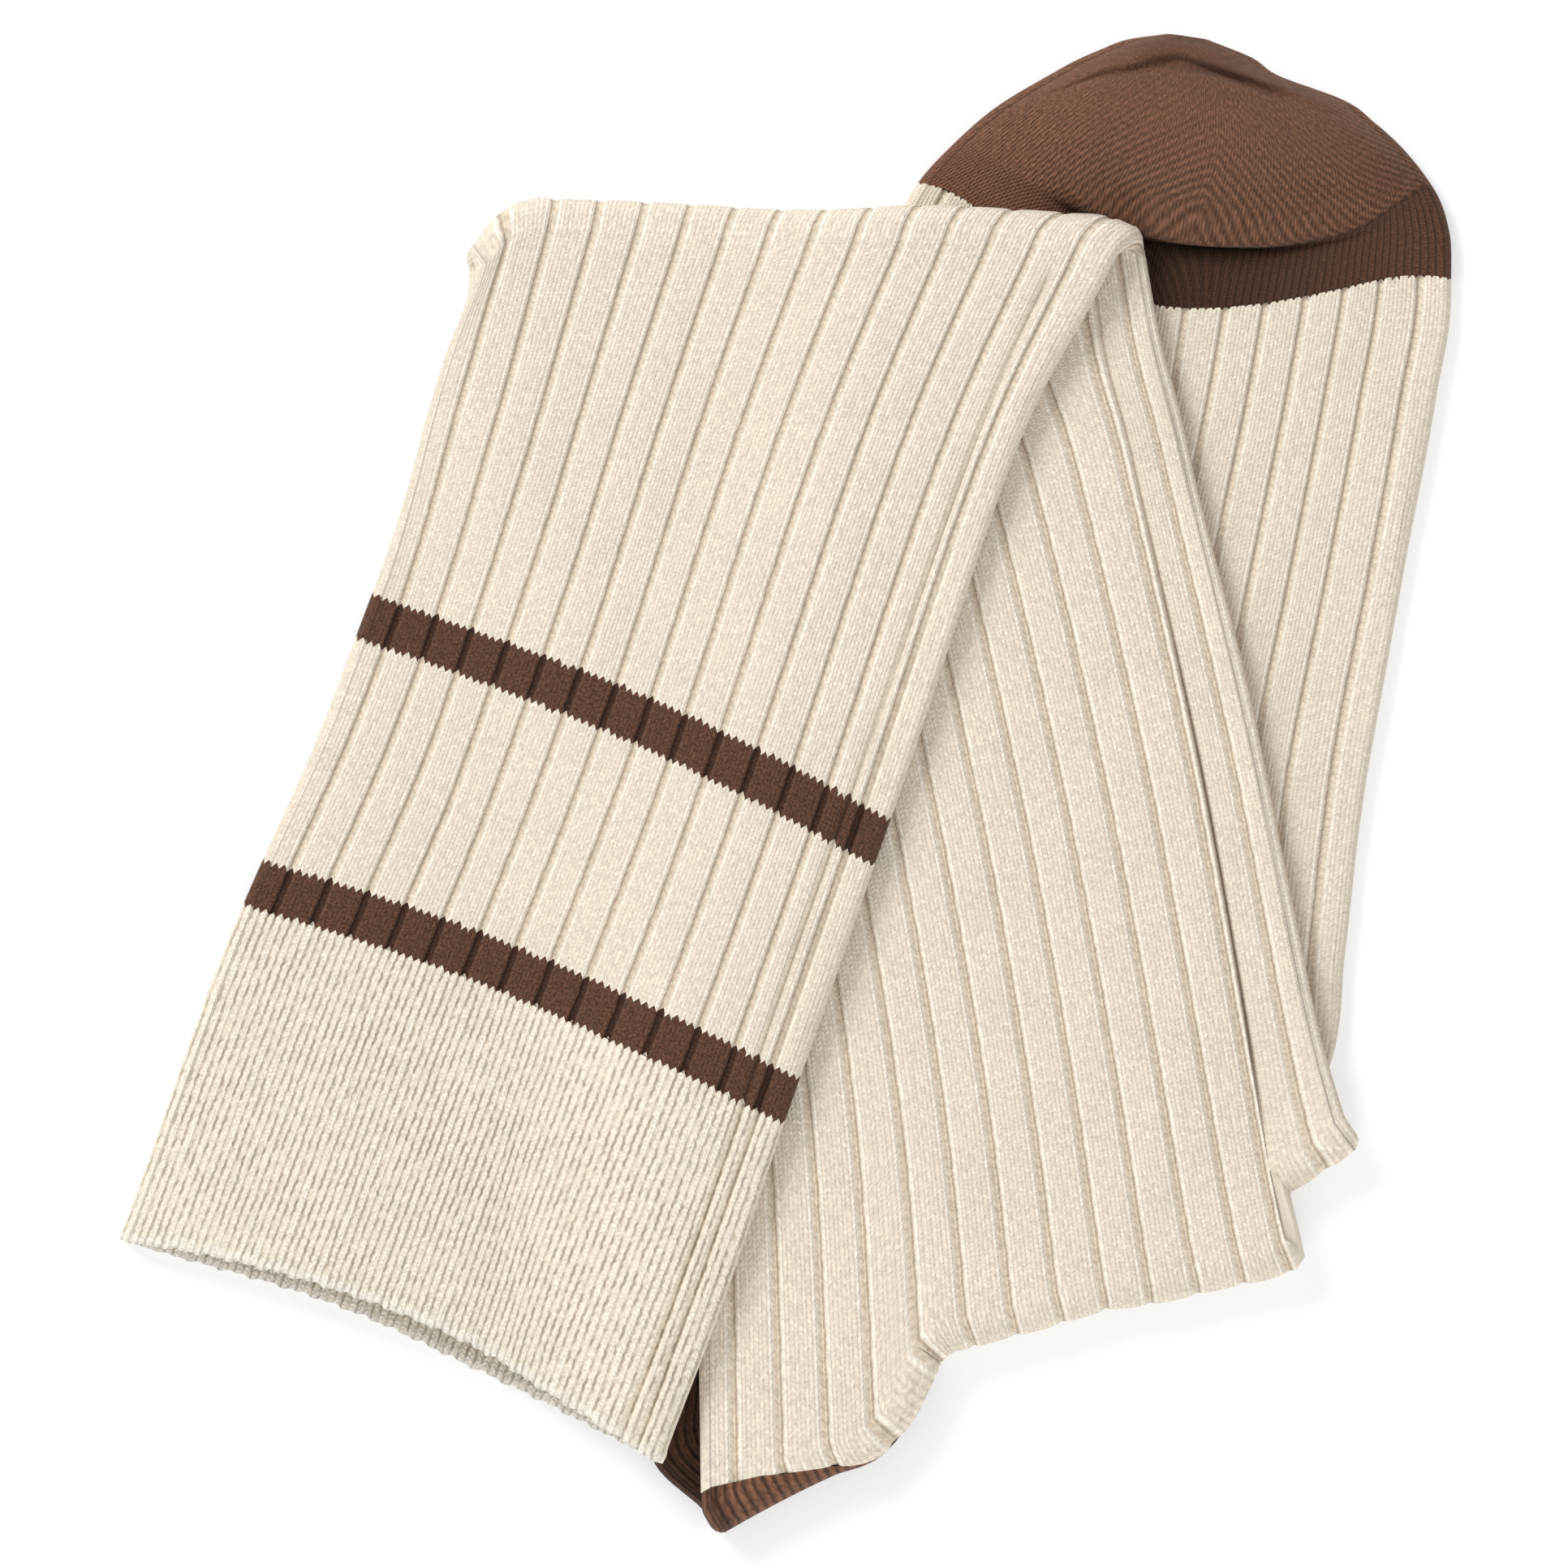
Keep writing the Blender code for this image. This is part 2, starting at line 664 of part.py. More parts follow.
def sock_shells():
    """Every subcomponent, as (name, vertices, faces)."""
    half_gap = JOIN_GAP / 2
    plain = ring(plain_wall(1, TOE_COLUMNS), plain_wall(-1, TOE_COLUMNS))
    ribbed = ribbed_ring()

    hem = hem_row()
    low_stripe = bowed(CUFF_HEIGHT, STRIPE_BOW, STRIPE_BOW)
    band = shifted(low_stripe, STRIPE_HEIGHT)
    high_stripe = shifted(band, BAND_HEIGHT)
    leg = shifted(high_stripe, STRIPE_HEIGHT)

    top_turn = [TOP_START + FOLD_SPAN * share for share in (0, 0.2, 0.4, 0.6, 0.8, 1)]
    before_top = straight(TOP_START - LOFT_REACH)
    leg_start = shifted(leg, half_gap)
    before_ankle = straight(ANKLE_START - ANKLE_DIP_REACH)
    leg_end = shifted(heel_edge(HEEL_RISE, -1), -half_gap)
    leg_rows = between(leg_start, before_top, (0, 0.33, 0.67, 1))
    leg_rows += [straight(distance) for distance in top_turn]
    leg_rows += between(straight(TOP_END), before_ankle, (0.12, 0.40, 0.70, 1))
    leg_rows += between(before_ankle, leg_end, (0.45, 0.80, 0.87, 0.93, 1))

    foot_start = shifted(heel_edge(HEEL_DROP, 1), half_gap)
    past_heel = straight(ANKLE_MIDDLE + 1.26 * HEEL_DROP)
    foot_end = shifted(toe_row(0.0), -half_gap)
    foot_rows = between(foot_start, past_heel, (0, 0.04, 0.08, 0.3, 0.6, 1))
    foot_rows += between(past_heel, foot_end, (0.33, 0.67, 1))

    heel_top = heel_edge(HEEL_RISE, -1)
    heel_middle = straight(ANKLE_MIDDLE)
    heel_sole = heel_edge(HEEL_DROP, 1)
    heel_rows = between(heel_top, heel_middle, (0, 0.5, 0.75, 1))
    heel_rows += between(heel_middle, heel_sole, (0.05, 0.1, 0.4, 0.7, 1))
    heel_rows[0] = shifted(heel_rows[0], half_gap)
    heel_rows[-1] = shifted(heel_rows[-1], -half_gap)

    toe_rows = [shifted(toe_row(0.0), half_gap)]
    toe_rows += [toe_row(rise.along) for rise in TOE_RISES[1:]]

    return (
        knitted_shell(
            "cuff",
            between(hem, shifted(low_stripe, -half_gap), (0, 0.2, 0.5, 0.75, 1)),
            plain,
        ),
        knitted_shell(
            "stripe_low",
            [shifted(low_stripe, half_gap), shifted(band, -half_gap)],
            ribbed,
        ),
        knitted_shell(
            "band",
            between(
                shifted(band, half_gap), shifted(high_stripe, -half_gap), (0, 0.5, 1)
            ),
            ribbed,
        ),
        knitted_shell(
            "stripe_high",
            [shifted(high_stripe, half_gap), shifted(leg, -half_gap)],
            ribbed,
        ),
        knitted_shell("leg", leg_rows, ribbed),
        knitted_shell("heel", heel_rows, heel_strip(), closed=False),
        knitted_shell("foot", foot_rows, foot_ring()),
        knitted_shell("toe", toe_rows, plain, capped=True),
    )


def knit_material(name, colour):
    material = bpy.data.materials.new(name)
    material.use_nodes = True
    shader = material.node_tree.nodes["Principled BSDF"]
    shader.inputs["Base Color"].default_value = (*colour, 1.0)
    shader.inputs["Roughness"].default_value = 0.9
    shader.inputs["Metallic"].default_value = 0.0
    return material


def clear_scene():
    for thing in list(bpy.data.objects):
        bpy.data.objects.remove(thing, do_unlink=True)


def build_sock():
    clear_scene()
    collection = bpy.data.collections.new("mid_calf_sock")
    bpy.context.scene.collection.children.link(collection)
    beige = knit_material("beige_knit", BEIGE)
    brown = knit_material("brown_knit", BROWN)
    brown_pieces = ("stripe_low", "stripe_high", "heel", "toe")

    shells = sock_shells()
    everything = np.vstack([vertices for _, vertices, _ in shells])
    centre = (everything.min(axis=0) + everything.max(axis=0)) / 2
    centre[2] = 0.0
    for name, vertices, faces in shells:
        mesh = tidy_mesh(name, vertices - centre, faces)
        mesh.materials.append(brown if name in brown_pieces else beige)
        collection.objects.link(bpy.data.objects.new(name, mesh))


build_sock()
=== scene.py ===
"""Looks for the folded ribbed sock: fine knitted surfaces around the CAD frame, floor, light and camera."""

import math
from collections import namedtuple

import bpy
import numpy as np
from mathutils import Matrix, Vector


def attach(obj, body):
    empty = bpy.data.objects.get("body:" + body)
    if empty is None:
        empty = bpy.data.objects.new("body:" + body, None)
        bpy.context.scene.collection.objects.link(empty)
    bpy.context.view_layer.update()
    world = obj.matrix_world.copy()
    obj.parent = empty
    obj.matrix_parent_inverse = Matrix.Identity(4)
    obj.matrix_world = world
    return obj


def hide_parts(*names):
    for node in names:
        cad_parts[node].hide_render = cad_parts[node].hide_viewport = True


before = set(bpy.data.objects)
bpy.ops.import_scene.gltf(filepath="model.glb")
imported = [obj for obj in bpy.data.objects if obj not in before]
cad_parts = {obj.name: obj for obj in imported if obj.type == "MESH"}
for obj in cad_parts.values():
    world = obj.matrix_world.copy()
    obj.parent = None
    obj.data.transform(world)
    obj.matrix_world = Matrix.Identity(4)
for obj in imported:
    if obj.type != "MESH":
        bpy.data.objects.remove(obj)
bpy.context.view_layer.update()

# Millimetres in a metre
MM = 1000.0

# Sizes along the tube
UPPER_LENGTH = 0.177
LOWER_LENGTH = 0.166
FOOT_LENGTH = 0.1635
TOE_LENGTH = 0.0285
CUFF_HEIGHT = 0.052
STRIPE_HEIGHT = 0.007
BAND_HEIGHT = 0.0345

# Sizes across the tube
LEG_WIDTH = 0.084
FOOT_WIDTH = 0.080
THICKNESS = 0.0036
WALL = 0.0012
RIBS_PER_FACE = 14
WALES_PER_RIB = 5
WALES_PER_FACE = RIBS_PER_FACE * WALES_PER_RIB
COURSE = 0.0007
STITCH_SLANT = 0.9

# How the layers lie on each other
LAYER_GAP = 0.0008
FOLD_LOFT = 0.0012
LOFT_REACH = 0.008
DRAPE_REACH = 0.028
TOP_SHIFT_LEFT = -0.0012
TOP_SHIFT_RIGHT = 0.0053
UPPER_LEAN = math.radians(20.4)
LOWER_LEAN = math.radians(11.1)
FOOT_LEAN = math.radians(8.4)

# Local shape
MOUTH_GAPE = 0.0060
MOUTH_DEPTH = 0.046
FRONT_HEM_BOW = 0.0052
BACK_HEM_BOW = 0.0024
HEM_SCALLOP = 0.0003
STRIPE_BOW = 0.0023
FOLD_DIP = 0.012
TOP_DIP_REACH = 0.018
TOP_MARGIN = 0.004
CORNER_TUCK = 0.75
ANKLE_DIP_REACH = 0.030
PLEAT_LEFT = 0.886
PLEAT_RIGHT = 0.891
PLEAT_AT_TOP = 0.928
PLEAT_AT_ANKLE = 0.9025
PLEAT_COLUMN = 0.911
PLEAT_LIFT = 0.0103
PLEAT_SWAY = 0.0024
PLEAT_DEEPENS = (0.225, 0.275)
PLEAT_FADES = (0.318, 0.345)
TOE_BOW = 0.0115
TOE_PUFF = 0.0066
DOME_OVERHANG = 0.0026
CREASE_DEPTH = 0.0028
BAND_HOLLOW = 0.0022
HEEL_RISE = 0.0070
HEEL_DROP = 0.046
HEEL_TUCK = 0.0007
HEEL_END = 0.0010
LEG_REST = 0.0030
FOOT_REST = 0.0033
HEEL_SPAN = 0.024
HEEL_SHARE = 4.5 / RIBS_PER_FACE
HEEL_SHOWS = 4.4 / RIBS_PER_FACE

# Depth of the knit's relief
GROOVE_DEPTH = 0.00048
RIB_CROWN = 0.00010
WALE_GROOVE = 0.00010
HEM_LIP = 0.00030
WAVE_HEIGHT = 0.00014
YARN_HEIGHT = 0.00022
PLEAT_DEPTH = 0.0011
PLEAT_STEP = 0.0005
EDGE_CREASE = 0.940
EDGE_CREASE_DEPTH = 0.0011
SECOND_CREASE = 0.972
SECOND_CREASE_DEPTH = 0.0010
CREASE_REACH = 0.0050

# The toe's courses are counted over TOE_SPAN. Its ridges are TOE_RIDGE mm apart and meet at TOE_MIDDLE
TOE_SPAN = 0.036
TOE_RIDGE = 0.92
TOE_MIDDLE = 0.52

# The photo's view
PHOTO_SIDE = 1932
PIXEL = 0.00012
CAMERA_DISTANCE = 1.3
SENSOR = 36.0
VIEW_MIDDLE = (-0.0002, -0.0002)
VIEW_RISE = 0.006
FLOOR_SIZE = 1.5
FLOOR_GAP = 0.00005

# A section lies along its panel at a share of its length. Its edges' places across, and how far each
# slips ahead, are shares of the panel's width
Section = namedtuple("Section", "along left right left_slip right_slip")
UPPER_SECTIONS = (
    Section(0.00, -0.520, 0.515, 0.002, -0.028),
    Section(0.33, -0.520, 0.507, 0.014, -0.014),
    Section(0.45, -0.502, 0.501, 0.020, -0.020),
    Section(0.57, -0.500, 0.496, 0.027, -0.027),
    Section(0.83, -0.524, 0.480, -0.146, 0.146),
    Section(1.00, -0.558, 0.509, -0.210, 0.143),
)
LOWER_SECTIONS = (
    Section(0.05, -0.629, 0.568, -0.068, 0.161),
    Section(0.24, -0.530, 0.576, -0.037, 0.037),
    Section(0.52, -0.500, 0.597, 0.000, 0.000),
    Section(0.79, -0.530, 0.606, 0.050, -0.050),
    Section(1.00, -0.625, 0.634, 0.203, -0.186),
)
FOOT_SECTIONS = (
    Section(0.03, -0.642, 0.526, -0.418, 0.395),
    Section(0.07, -0.664, 0.527, -0.396, 0.396),
    Section(0.22, -0.664, 0.494, -0.298, 0.298),
    Section(0.43, -0.646, 0.474, -0.198, 0.198),
    Section(0.68, -0.590, 0.490, -0.110, 0.110),
    Section(0.84, -0.547, 0.498, -0.078, 0.078),
    Section(1.00, -0.510, 0.495, 0.016, -0.016),
)
TOE_SECTIONS = (
    Section(0.23, -0.460, 0.478, 0.010, -0.010),
    Section(0.45, -0.394, 0.434, 0.010, -0.010),
    Section(0.70, -0.299, 0.314, 0.000, 0.000),
    Section(0.80, -0.252, 0.244, 0.000, 0.000),
    Section(0.87, -0.212, 0.126, 0.000, 0.000),
    Section(0.95, -0.158, 0.064, 0.000, 0.000),
    Section(1.00, -0.095, -0.012, 0.000, 0.000),
)

# How far a fold's line is drawn down, from its left end to its right, as a share of FOLD_DIP
Dip = namedtuple("Dip", "across drop")
TOP_DIPS = (
    Dip(0.000, 0.60),
    Dip(0.025, 0.38),
    Dip(0.050, 0.16),
    Dip(0.080, 0.05),
    Dip(0.150, 0.01),
    Dip(0.240, 0.00),
    Dip(0.330, 0.02),
    Dip(0.500, 0.04),
    Dip(0.750, 0.00),
    Dip(0.893, 0.03),
    Dip(0.950, 0.06),
    Dip(1.000, 0.22),
)
ANKLE_DIPS = (
    Dip(0.000, 0.06),
    Dip(0.107, 0.05),
    Dip(0.179, 0.08),
    Dip(0.250, 0.14),
    Dip(0.280, -0.04),
    Dip(0.340, -0.62),
    Dip(0.395, -0.56),
    Dip(0.450, -0.44),
    Dip(0.504, -0.31),
    Dip(0.560, -0.20),
    Dip(0.610, -0.09),
    Dip(0.670, 0.12),
    Dip(0.780, 0.40),
    Dip(0.890, 0.62),
    Dip(0.940, 0.60),
    Dip(1.000, 0.45),
)

# Where the seam that joins the toe's two halves crosses it, from left to right, and how far the
# dome stands over it as a lip
Seam = namedtuple("Seam", "across along lip")
TOE_SEAM = (
    Seam(-1.00, 0.24, 0.00),
    Seam(-0.75, 0.22, 0.00),
    Seam(-0.55, 0.22, 0.10),
    Seam(-0.35, 0.23, 0.75),
    Seam(-0.10, 0.25, 1.00),
    Seam(0.15, 0.26, 1.00),
    Seam(0.42, 0.25, 0.55),
    Seam(0.72, 0.28, 0.20),
    Seam(0.88, 0.36, 0.08),
    Seam(1.00, 0.43, 0.00),
)

# The dome's top, from the seam to the tip, where it stands over the seam and where it runs on
Rise = namedtuple("Rise", "along lipped even")
DOME_RISES = (
    Rise(-1.00, 0.00, 0.00),
    Rise(-0.50, 0.04, 0.14),
    Rise(-0.12, 0.00, 0.36),
    Rise(0.00, -0.10, 0.45),
    Rise(0.03, 0.30, 0.48),
    Rise(0.08, 0.62, 0.53),
    Rise(0.16, 0.85, 0.62),
    Rise(0.28, 0.97, 0.78),
    Rise(0.42, 1.00, 0.94),
    Rise(0.58, 0.96, 0.96),
    Rise(0.70, 0.88, 0.88),
    Rise(0.82, 0.74, 0.74),
    Rise(0.90, 0.60, 0.60),
    Rise(0.95, 0.42, 0.42),
    Rise(1.00, 0.00, 0.00),
)

# The crease behind the dome, from left to right, with its place between the leg's yarn and the tip
Crease = namedtuple("Crease", "across along depth")
TOE_CREASE = (
    Crease(-1.00, 0.50, 0.00),
    Crease(-0.84, 0.62, 0.25),
    Crease(-0.76, 0.72, 0.50),
    Crease(-0.60, 0.80, 0.70),
    Crease(-0.33, 0.875, 0.85),
    Crease(-0.07, 0.888, 1.00),
    Crease(0.25, 0.855, 1.00),
    Crease(0.36, 0.83, 0.90),
    Crease(0.50, 0.80, 0.30),
    Crease(0.62, 0.78, 0.00),
    Crease(1.00, 0.75, 0.00),
)

# Rows over the toe: -1 at its start, 0 on the seam and 1 at the tip
TOE_PLACES = (-0.5, -0.2, -0.1, 0.0, 0.03, 0.06, 0.1, 0.2, 0.6, 0.8, 0.9, 0.96, 1.0)

PROBE = WALL / 6
FAR = UPPER_LENGTH + LOWER_LENGTH

LAYER_STEP = THICKNESS + LAYER_GAP
FOLD_SPAN = math.pi * (LAYER_STEP + FOLD_LOFT) / 2
TOP_START = UPPER_LENGTH
TOP_END = TOP_START + FOLD_SPAN
ANKLE_START = TOP_END + LOWER_LENGTH
ANKLE_END = ANKLE_START + FOLD_SPAN
ANKLE_MIDDLE = (ANKLE_START + ANKLE_END) / 2
TOE_START = ANKLE_END + FOOT_LENGTH
TIP = TOE_START + TOE_LENGTH


def smooth_rows(stations, values, at):
    """Values of a table at places between its stations, on smooth curves."""
    at = np.clip(at, stations[0], stations[-1])
    slopes = np.gradient(values, stations, axis=0)
    row = np.clip(np.searchsorted(stations, at, side="right") - 1, 0, len(stations) - 2)
    length = (stations[row + 1] - stations[row])[..., None]
    t = (at[..., None] - stations[row][..., None]) / length
    return (
        (2 * t**3 - 3 * t**2 + 1) * values[row]
        + (t**3 - 2 * t**2 + t) * length * slopes[row]
        + (3 * t**2 - 2 * t**3) * values[row + 1]
        + (t**3 - t**2) * length * slopes[row + 1]
    )


def smooth_step(share):
    share = np.clip(share, 0.0, 1.0)
    return share * share * (3 - 2 * share)


def bell(value, middle, reach):
    return np.exp(-(((value - middle) / reach) ** 2))


def unit(vectors):
    return vectors / np.linalg.norm(vectors, axis=-1, keepdims=True)


def section_ends(sections, start, axis, across, length, width):
    """The x and y of each section's left edge, and then those of its right edge."""
    rows = []
    for section in sections:
        middle = start + axis * section.along * length
        left = middle + (across * section.left + axis * section.left_slip) * width
        right = middle + (across * section.right + axis * section.right_slip) * width
        rows.append((*left, *right))
    return rows


def panel_layout():
    """The three panels in plan: places along each, and where its edges are there."""
    upper_axis = np.array((math.sin(UPPER_LEAN), math.cos(UPPER_LEAN)))
    upper_across = np.array((math.cos(UPPER_LEAN), -math.sin(UPPER_LEAN)))
    lower_axis = np.array((math.sin(LOWER_LEAN), -math.cos(LOWER_LEAN)))
    lower_across = np.array((math.cos(LOWER_LEAN), math.sin(LOWER_LEAN)))
    foot_axis = np.array((math.sin(FOOT_LEAN), math.cos(FOOT_LEAN)))
    foot_across = np.array((math.cos(FOOT_LEAN), -math.sin(FOOT_LEAN)))
    hem = np.zeros(2)
    top_fold = hem + upper_axis * UPPER_LENGTH
    ankle = top_fold + lower_axis * LOWER_LENGTH
    toe = ankle + foot_axis * FOOT_LENGTH
    upper = section_ends(UPPER_SECTIONS, hem, upper_axis, upper_across, UPPER_LENGTH, LEG_WIDTH)
    lower = section_ends(LOWER_SECTIONS, top_fold, lower_axis, lower_across, LOWER_LENGTH, LEG_WIDTH)
    foot = section_ends(FOOT_SECTIONS, ankle, foot_axis, foot_across, FOOT_LENGTH, FOOT_WIDTH)
    tip = section_ends(TOE_SECTIONS, toe, foot_axis, foot_across, TOE_LENGTH, FOOT_WIDTH)
    top_left = np.array(upper[-1][:2]) + lower_across * TOP_SHIFT_LEFT
    top_right = np.array(upper[-1][2:]) + lower_across * TOP_SHIFT_RIGHT
    lower = [(*top_left, *top_right)] + lower
    upper_at = [row.along * UPPER_LENGTH for row in UPPER_SECTIONS]
    lower_at = [0.0] + [row.along * LOWER_LENGTH for row in LOWER_SECTIONS]
    foot_at = [0.0] + [row.along * FOOT_LENGTH for row in FOOT_SECTIONS]
    foot_at += [FOOT_LENGTH + row.along * TOE_LENGTH for row in TOE_SECTIONS]
    return (
        (np.array(upper_at), np.array(upper)),
        (np.array(lower_at), np.array(lower)),
        (np.array(foot_at), np.array([lower[-1]] + foot + tip)),
    )


UPPER_PANEL, LOWER_PANEL, FOOT_PANEL = panel_layout()


def left_edge(panel):
    """A panel's left edge, as rising y values and the x at each."""
    stations, ends = panel
    edge = smooth_rows(stations, ends, np.linspace(0, stations[-1], 60))[:, :2]
    order = np.argsort(edge[:, 1])
    return edge[order, 1], edge[order, 0]


FOOT_EDGE = left_edge(FOOT_PANEL)
LEG_EDGE = left_edge(LOWER_PANEL)


def carried(plan, edge):
    """1 where a lower panel carries this one, falling to 0 on the left of that panel's edge."""
    inside = plan[..., 0] - np.interp(plan[..., 1], edge[0], edge[1])
    return smooth_step(1 + inside / DRAPE_REACH)


def plan_points(panel, distance, across):
    ends = smooth_rows(panel[0], panel[1], distance)
    share = (1 + across)[..., None] / 2
    return ends[..., :2] + (ends[..., 2:] - ends[..., :2]) * share


def dip_profile(dips, across):
    rows = np.array(dips)
    return smooth_rows(rows[:, 0], rows[:, 1:], (1 + across) / 2)[..., 0] * FOLD_DIP


def ankle_shift(across, distance):
    """How far, to the right and up, a point near the ankle fold is drawn off its straight line."""
    past_pleat = smooth_step(((1 + across) / 2 - PLEAT_LEFT) / (PLEAT_RIGHT - PLEAT_LEFT))
    right = -PLEAT_SWAY * past_pleat
    up = PLEAT_LIFT * past_pleat - dip_profile(ANKLE_DIPS, across)
    reach = np.exp(-((distance / ANKLE_DIP_REACH) ** 2))
    return np.stack((right * reach, up * reach), axis=1)


def top_drop(across, distance):
    """How far a point near the top fold is drawn down, at a distance from that fold."""
    return dip_profile(TOP_DIPS, across) * np.exp(-((distance / TOP_DIP_REACH) ** 2))


def half_width(s):
    size = np.zeros(s.shape)
    zones = (
        (s < TOP_END, UPPER_PANEL, s),
        ((s >= TOP_END) & (s < ANKLE_END), LOWER_PANEL, s - TOP_END),
        (s >= ANKLE_END, FOOT_PANEL, s - ANKLE_END),
    )
    for here, panel, distance in zones:
        ends = smooth_rows(panel[0], panel[1], distance[here])
        size[here] = np.linalg.norm(ends[:, 2:] - ends[:, :2], axis=1) / 2
    return size


def toe_share(s, across):
    bow = TOE_BOW * (1 - across**2) ** 1.8
    return (s - TOE_START + bow) / (TOE_LENGTH + bow)


def table_values(table, at):
    """The columns of a table after its first one, read smoothly at places along that first one."""
    rows = np.array(table)
    return np.moveaxis(smooth_rows(rows[:, 0], rows[:, 1:], at), -1, 0)


def seam_share(across):
    return table_values(TOE_SEAM, across)[0]


def dome_share(s, across):
    """0 on the toe's seam and 1 at the tip, below 0 on the band beside the leg's yarn."""
    seam = seam_share(across)
    beyond = toe_share(s, across) - seam
    return np.where(beyond > 0, beyond / (1 - seam), beyond / seam)


def thickness(s, across):
    gape = MOUTH_GAPE * (1 - smooth_step(s / MOUTH_DEPTH)) * (1 - across**2)
    lipped, even = table_values(DOME_RISES, dome_share(s, across))
    lip = table_values(TOE_SEAM, across)[1]
    crease, depth = table_values(TOE_CREASE, across)
    hollow = CREASE_DEPTH * depth * bell(toe_share(s, across), crease, 0.024)
    flat = 1 - THICKNESS / 2 / np.maximum(half_width(s), THICKNESS)
    crown = (1 - np.minimum(1, np.abs(across) / flat) ** 2) ** 0.6
    return THICKNESS + gape + (TOE_PUFF * (even + (lipped - even) * lip) - hollow) * crown


def rolled(start, end, outward, upper_z, lower_z, turn):
    """Points on the half roll that joins two layers, from start on the upper to end on the lower."""
    share = (turn / math.pi)[:, None]
    radius = ((upper_z - lower_z) / 2)[:, None]
    plan = start + (end - start) * smooth_step(share) + outward * radius * np.sin(turn)[:, None]
    height = (upper_z + lower_z)[:, None] / 2 + radius * np.cos(turn)[:, None]
    return np.hstack((plan, height))


def heading(panel, distance, across):
    """The tube's direction in plan at a distance along a panel."""
    ahead = plan_points(panel, np.full(across.shape, distance + PROBE), across)
    behind = plan_points(panel, np.full(across.shape, distance - PROBE), across)
    return unit(ahead - behind)


def top_roll(turn, across, half):
    """The top fold. The ribs keep their direction up to its crest, and turn in plan below it."""
    below_crest = smooth_step(2 * turn / math.pi - 1)[:, None]
    start = plan_points(UPPER_PANEL, np.full(across.shape, UPPER_LENGTH), across)
    end = plan_points(LOWER_PANEL, np.zeros(across.shape), across)
    incoming = heading(UPPER_PANEL, UPPER_LENGTH, across)
    outgoing = heading(LOWER_PANEL, 0.0, across)
    start[:, 1] -= top_drop(across, 0.0)
    end[:, 1] -= top_drop(across, 0.0)
    outward = unit(incoming * (1 - below_crest) - outgoing * below_crest)
    outward *= (1 - CORNER_TUCK * bell(across, -1.0, 0.07))[:, None]
    upper_z = upper_height(start, 0.0) + half
    lower_z = lower_height(end, FAR) + half
    return rolled(start, end, outward, upper_z, lower_z, turn)


def ankle_outward(across):
    """The direction in plan that is at right angles to the ankle fold's own dipping line."""
    ends = []
    for step in (-0.16, 0.16):
        place = np.clip(across + step, -1, 1)
        at = plan_points(LOWER_PANEL, np.full(across.shape, LOWER_LENGTH), place)
        at[:, 1] -= dip_profile(ANKLE_DIPS, place)
        ends.append(at)
    line = unit(ends[1] - ends[0])
    return np.stack((line[:, 1], -line[:, 0]), axis=1)


def ankle_roll(turn, across, half):
    """The ankle fold, which turns under at right angles to its own line."""
    outward = ankle_outward(across)
    at = plan_points(LOWER_PANEL, np.full(across.shape, LOWER_LENGTH), across)
    at += ankle_shift(across, 0.0)
    return rolled(at, at, outward, lower_height(at, 0.0) + half, half, turn)


def upper_height(plan, from_fold):
    loft = FOLD_LOFT * np.exp(-from_fold / LOFT_REACH)
    return LAYER_STEP * (carried(plan, FOOT_EDGE) + carried(plan, LEG_EDGE)) + loft


def lower_height(plan, from_fold):
    loft = FOLD_LOFT * np.exp(-from_fold / LOFT_REACH)
    return LAYER_STEP * carried(plan, FOOT_EDGE) + loft


def middle_surface(s, across):
    """The middle of the flattened tube, s metres from the hem. across runs from -1 to 1."""
    s, across = np.broadcast_arrays(s, across)
    shape = s.shape
    s = s.ravel()
    across = across.ravel()
    points = np.zeros((len(s), 3))
    half = thickness(s, across) / 2

    here = s < TOP_START
    plan = plan_points(UPPER_PANEL, s[here], across[here])
    plan[:, 1] -= top_drop(across[here], TOP_START - s[here])
    height = upper_height(plan, TOP_START - s[here]) + half[here]
    points[here] = np.hstack((plan, height[:, None]))

    here = (s >= TOP_START) & (s < TOP_END)
    turn = (s[here] - TOP_START) / FOLD_SPAN * math.pi
    points[here] = top_roll(turn, across[here], half[here])

    here = (s >= TOP_END) & (s < ANKLE_START)
    plan = plan_points(LOWER_PANEL, s[here] - TOP_END, across[here])
    plan[:, 1] -= top_drop(across[here], s[here] - TOP_END)
    plan += ankle_shift(across[here], ANKLE_START - s[here])
    height = lower_height(plan, ANKLE_START - s[here]) + half[here]
    points[here] = np.hstack((plan, height[:, None]))

    here = (s >= ANKLE_START) & (s < ANKLE_END)
    turn = (s[here] - ANKLE_START) / FOLD_SPAN * math.pi
    points[here] = ankle_roll(turn, across[here], half[here])

    here = s >= ANKLE_END
    plan = plan_points(FOOT_PANEL, s[here] - ANKLE_END, across[here])
    plan += ankle_shift(across[here], s[here] - ANKLE_END)
    points[here] = np.hstack((plan, half[here][:, None]))
    return points.reshape(*shape, 3)


def surface_frame(s, across):
    """The middle point, the direction to the right and the tube's own upward direction."""
    across_step = 0.004
    ahead = middle_surface(np.minimum(s + PROBE, TIP), across)
    behind = middle_surface(np.maximum(s - PROBE, 0.0), across)
    right = middle_surface(s, np.minimum(across + across_step, 1.0))
    left = middle_surface(s, np.maximum(across - across_step, -1.0))
    rightward = unit(right - left)
    upward = unit(np.cross(rightward, ahead - behind))
    on_floor = s >= ANKLE_END
    upward[on_floor] = (0.0, 0.0, 1.0)
    rightward[on_floor, 2] = 0.0
    return middle_surface(s, across), unit(rightward), upward


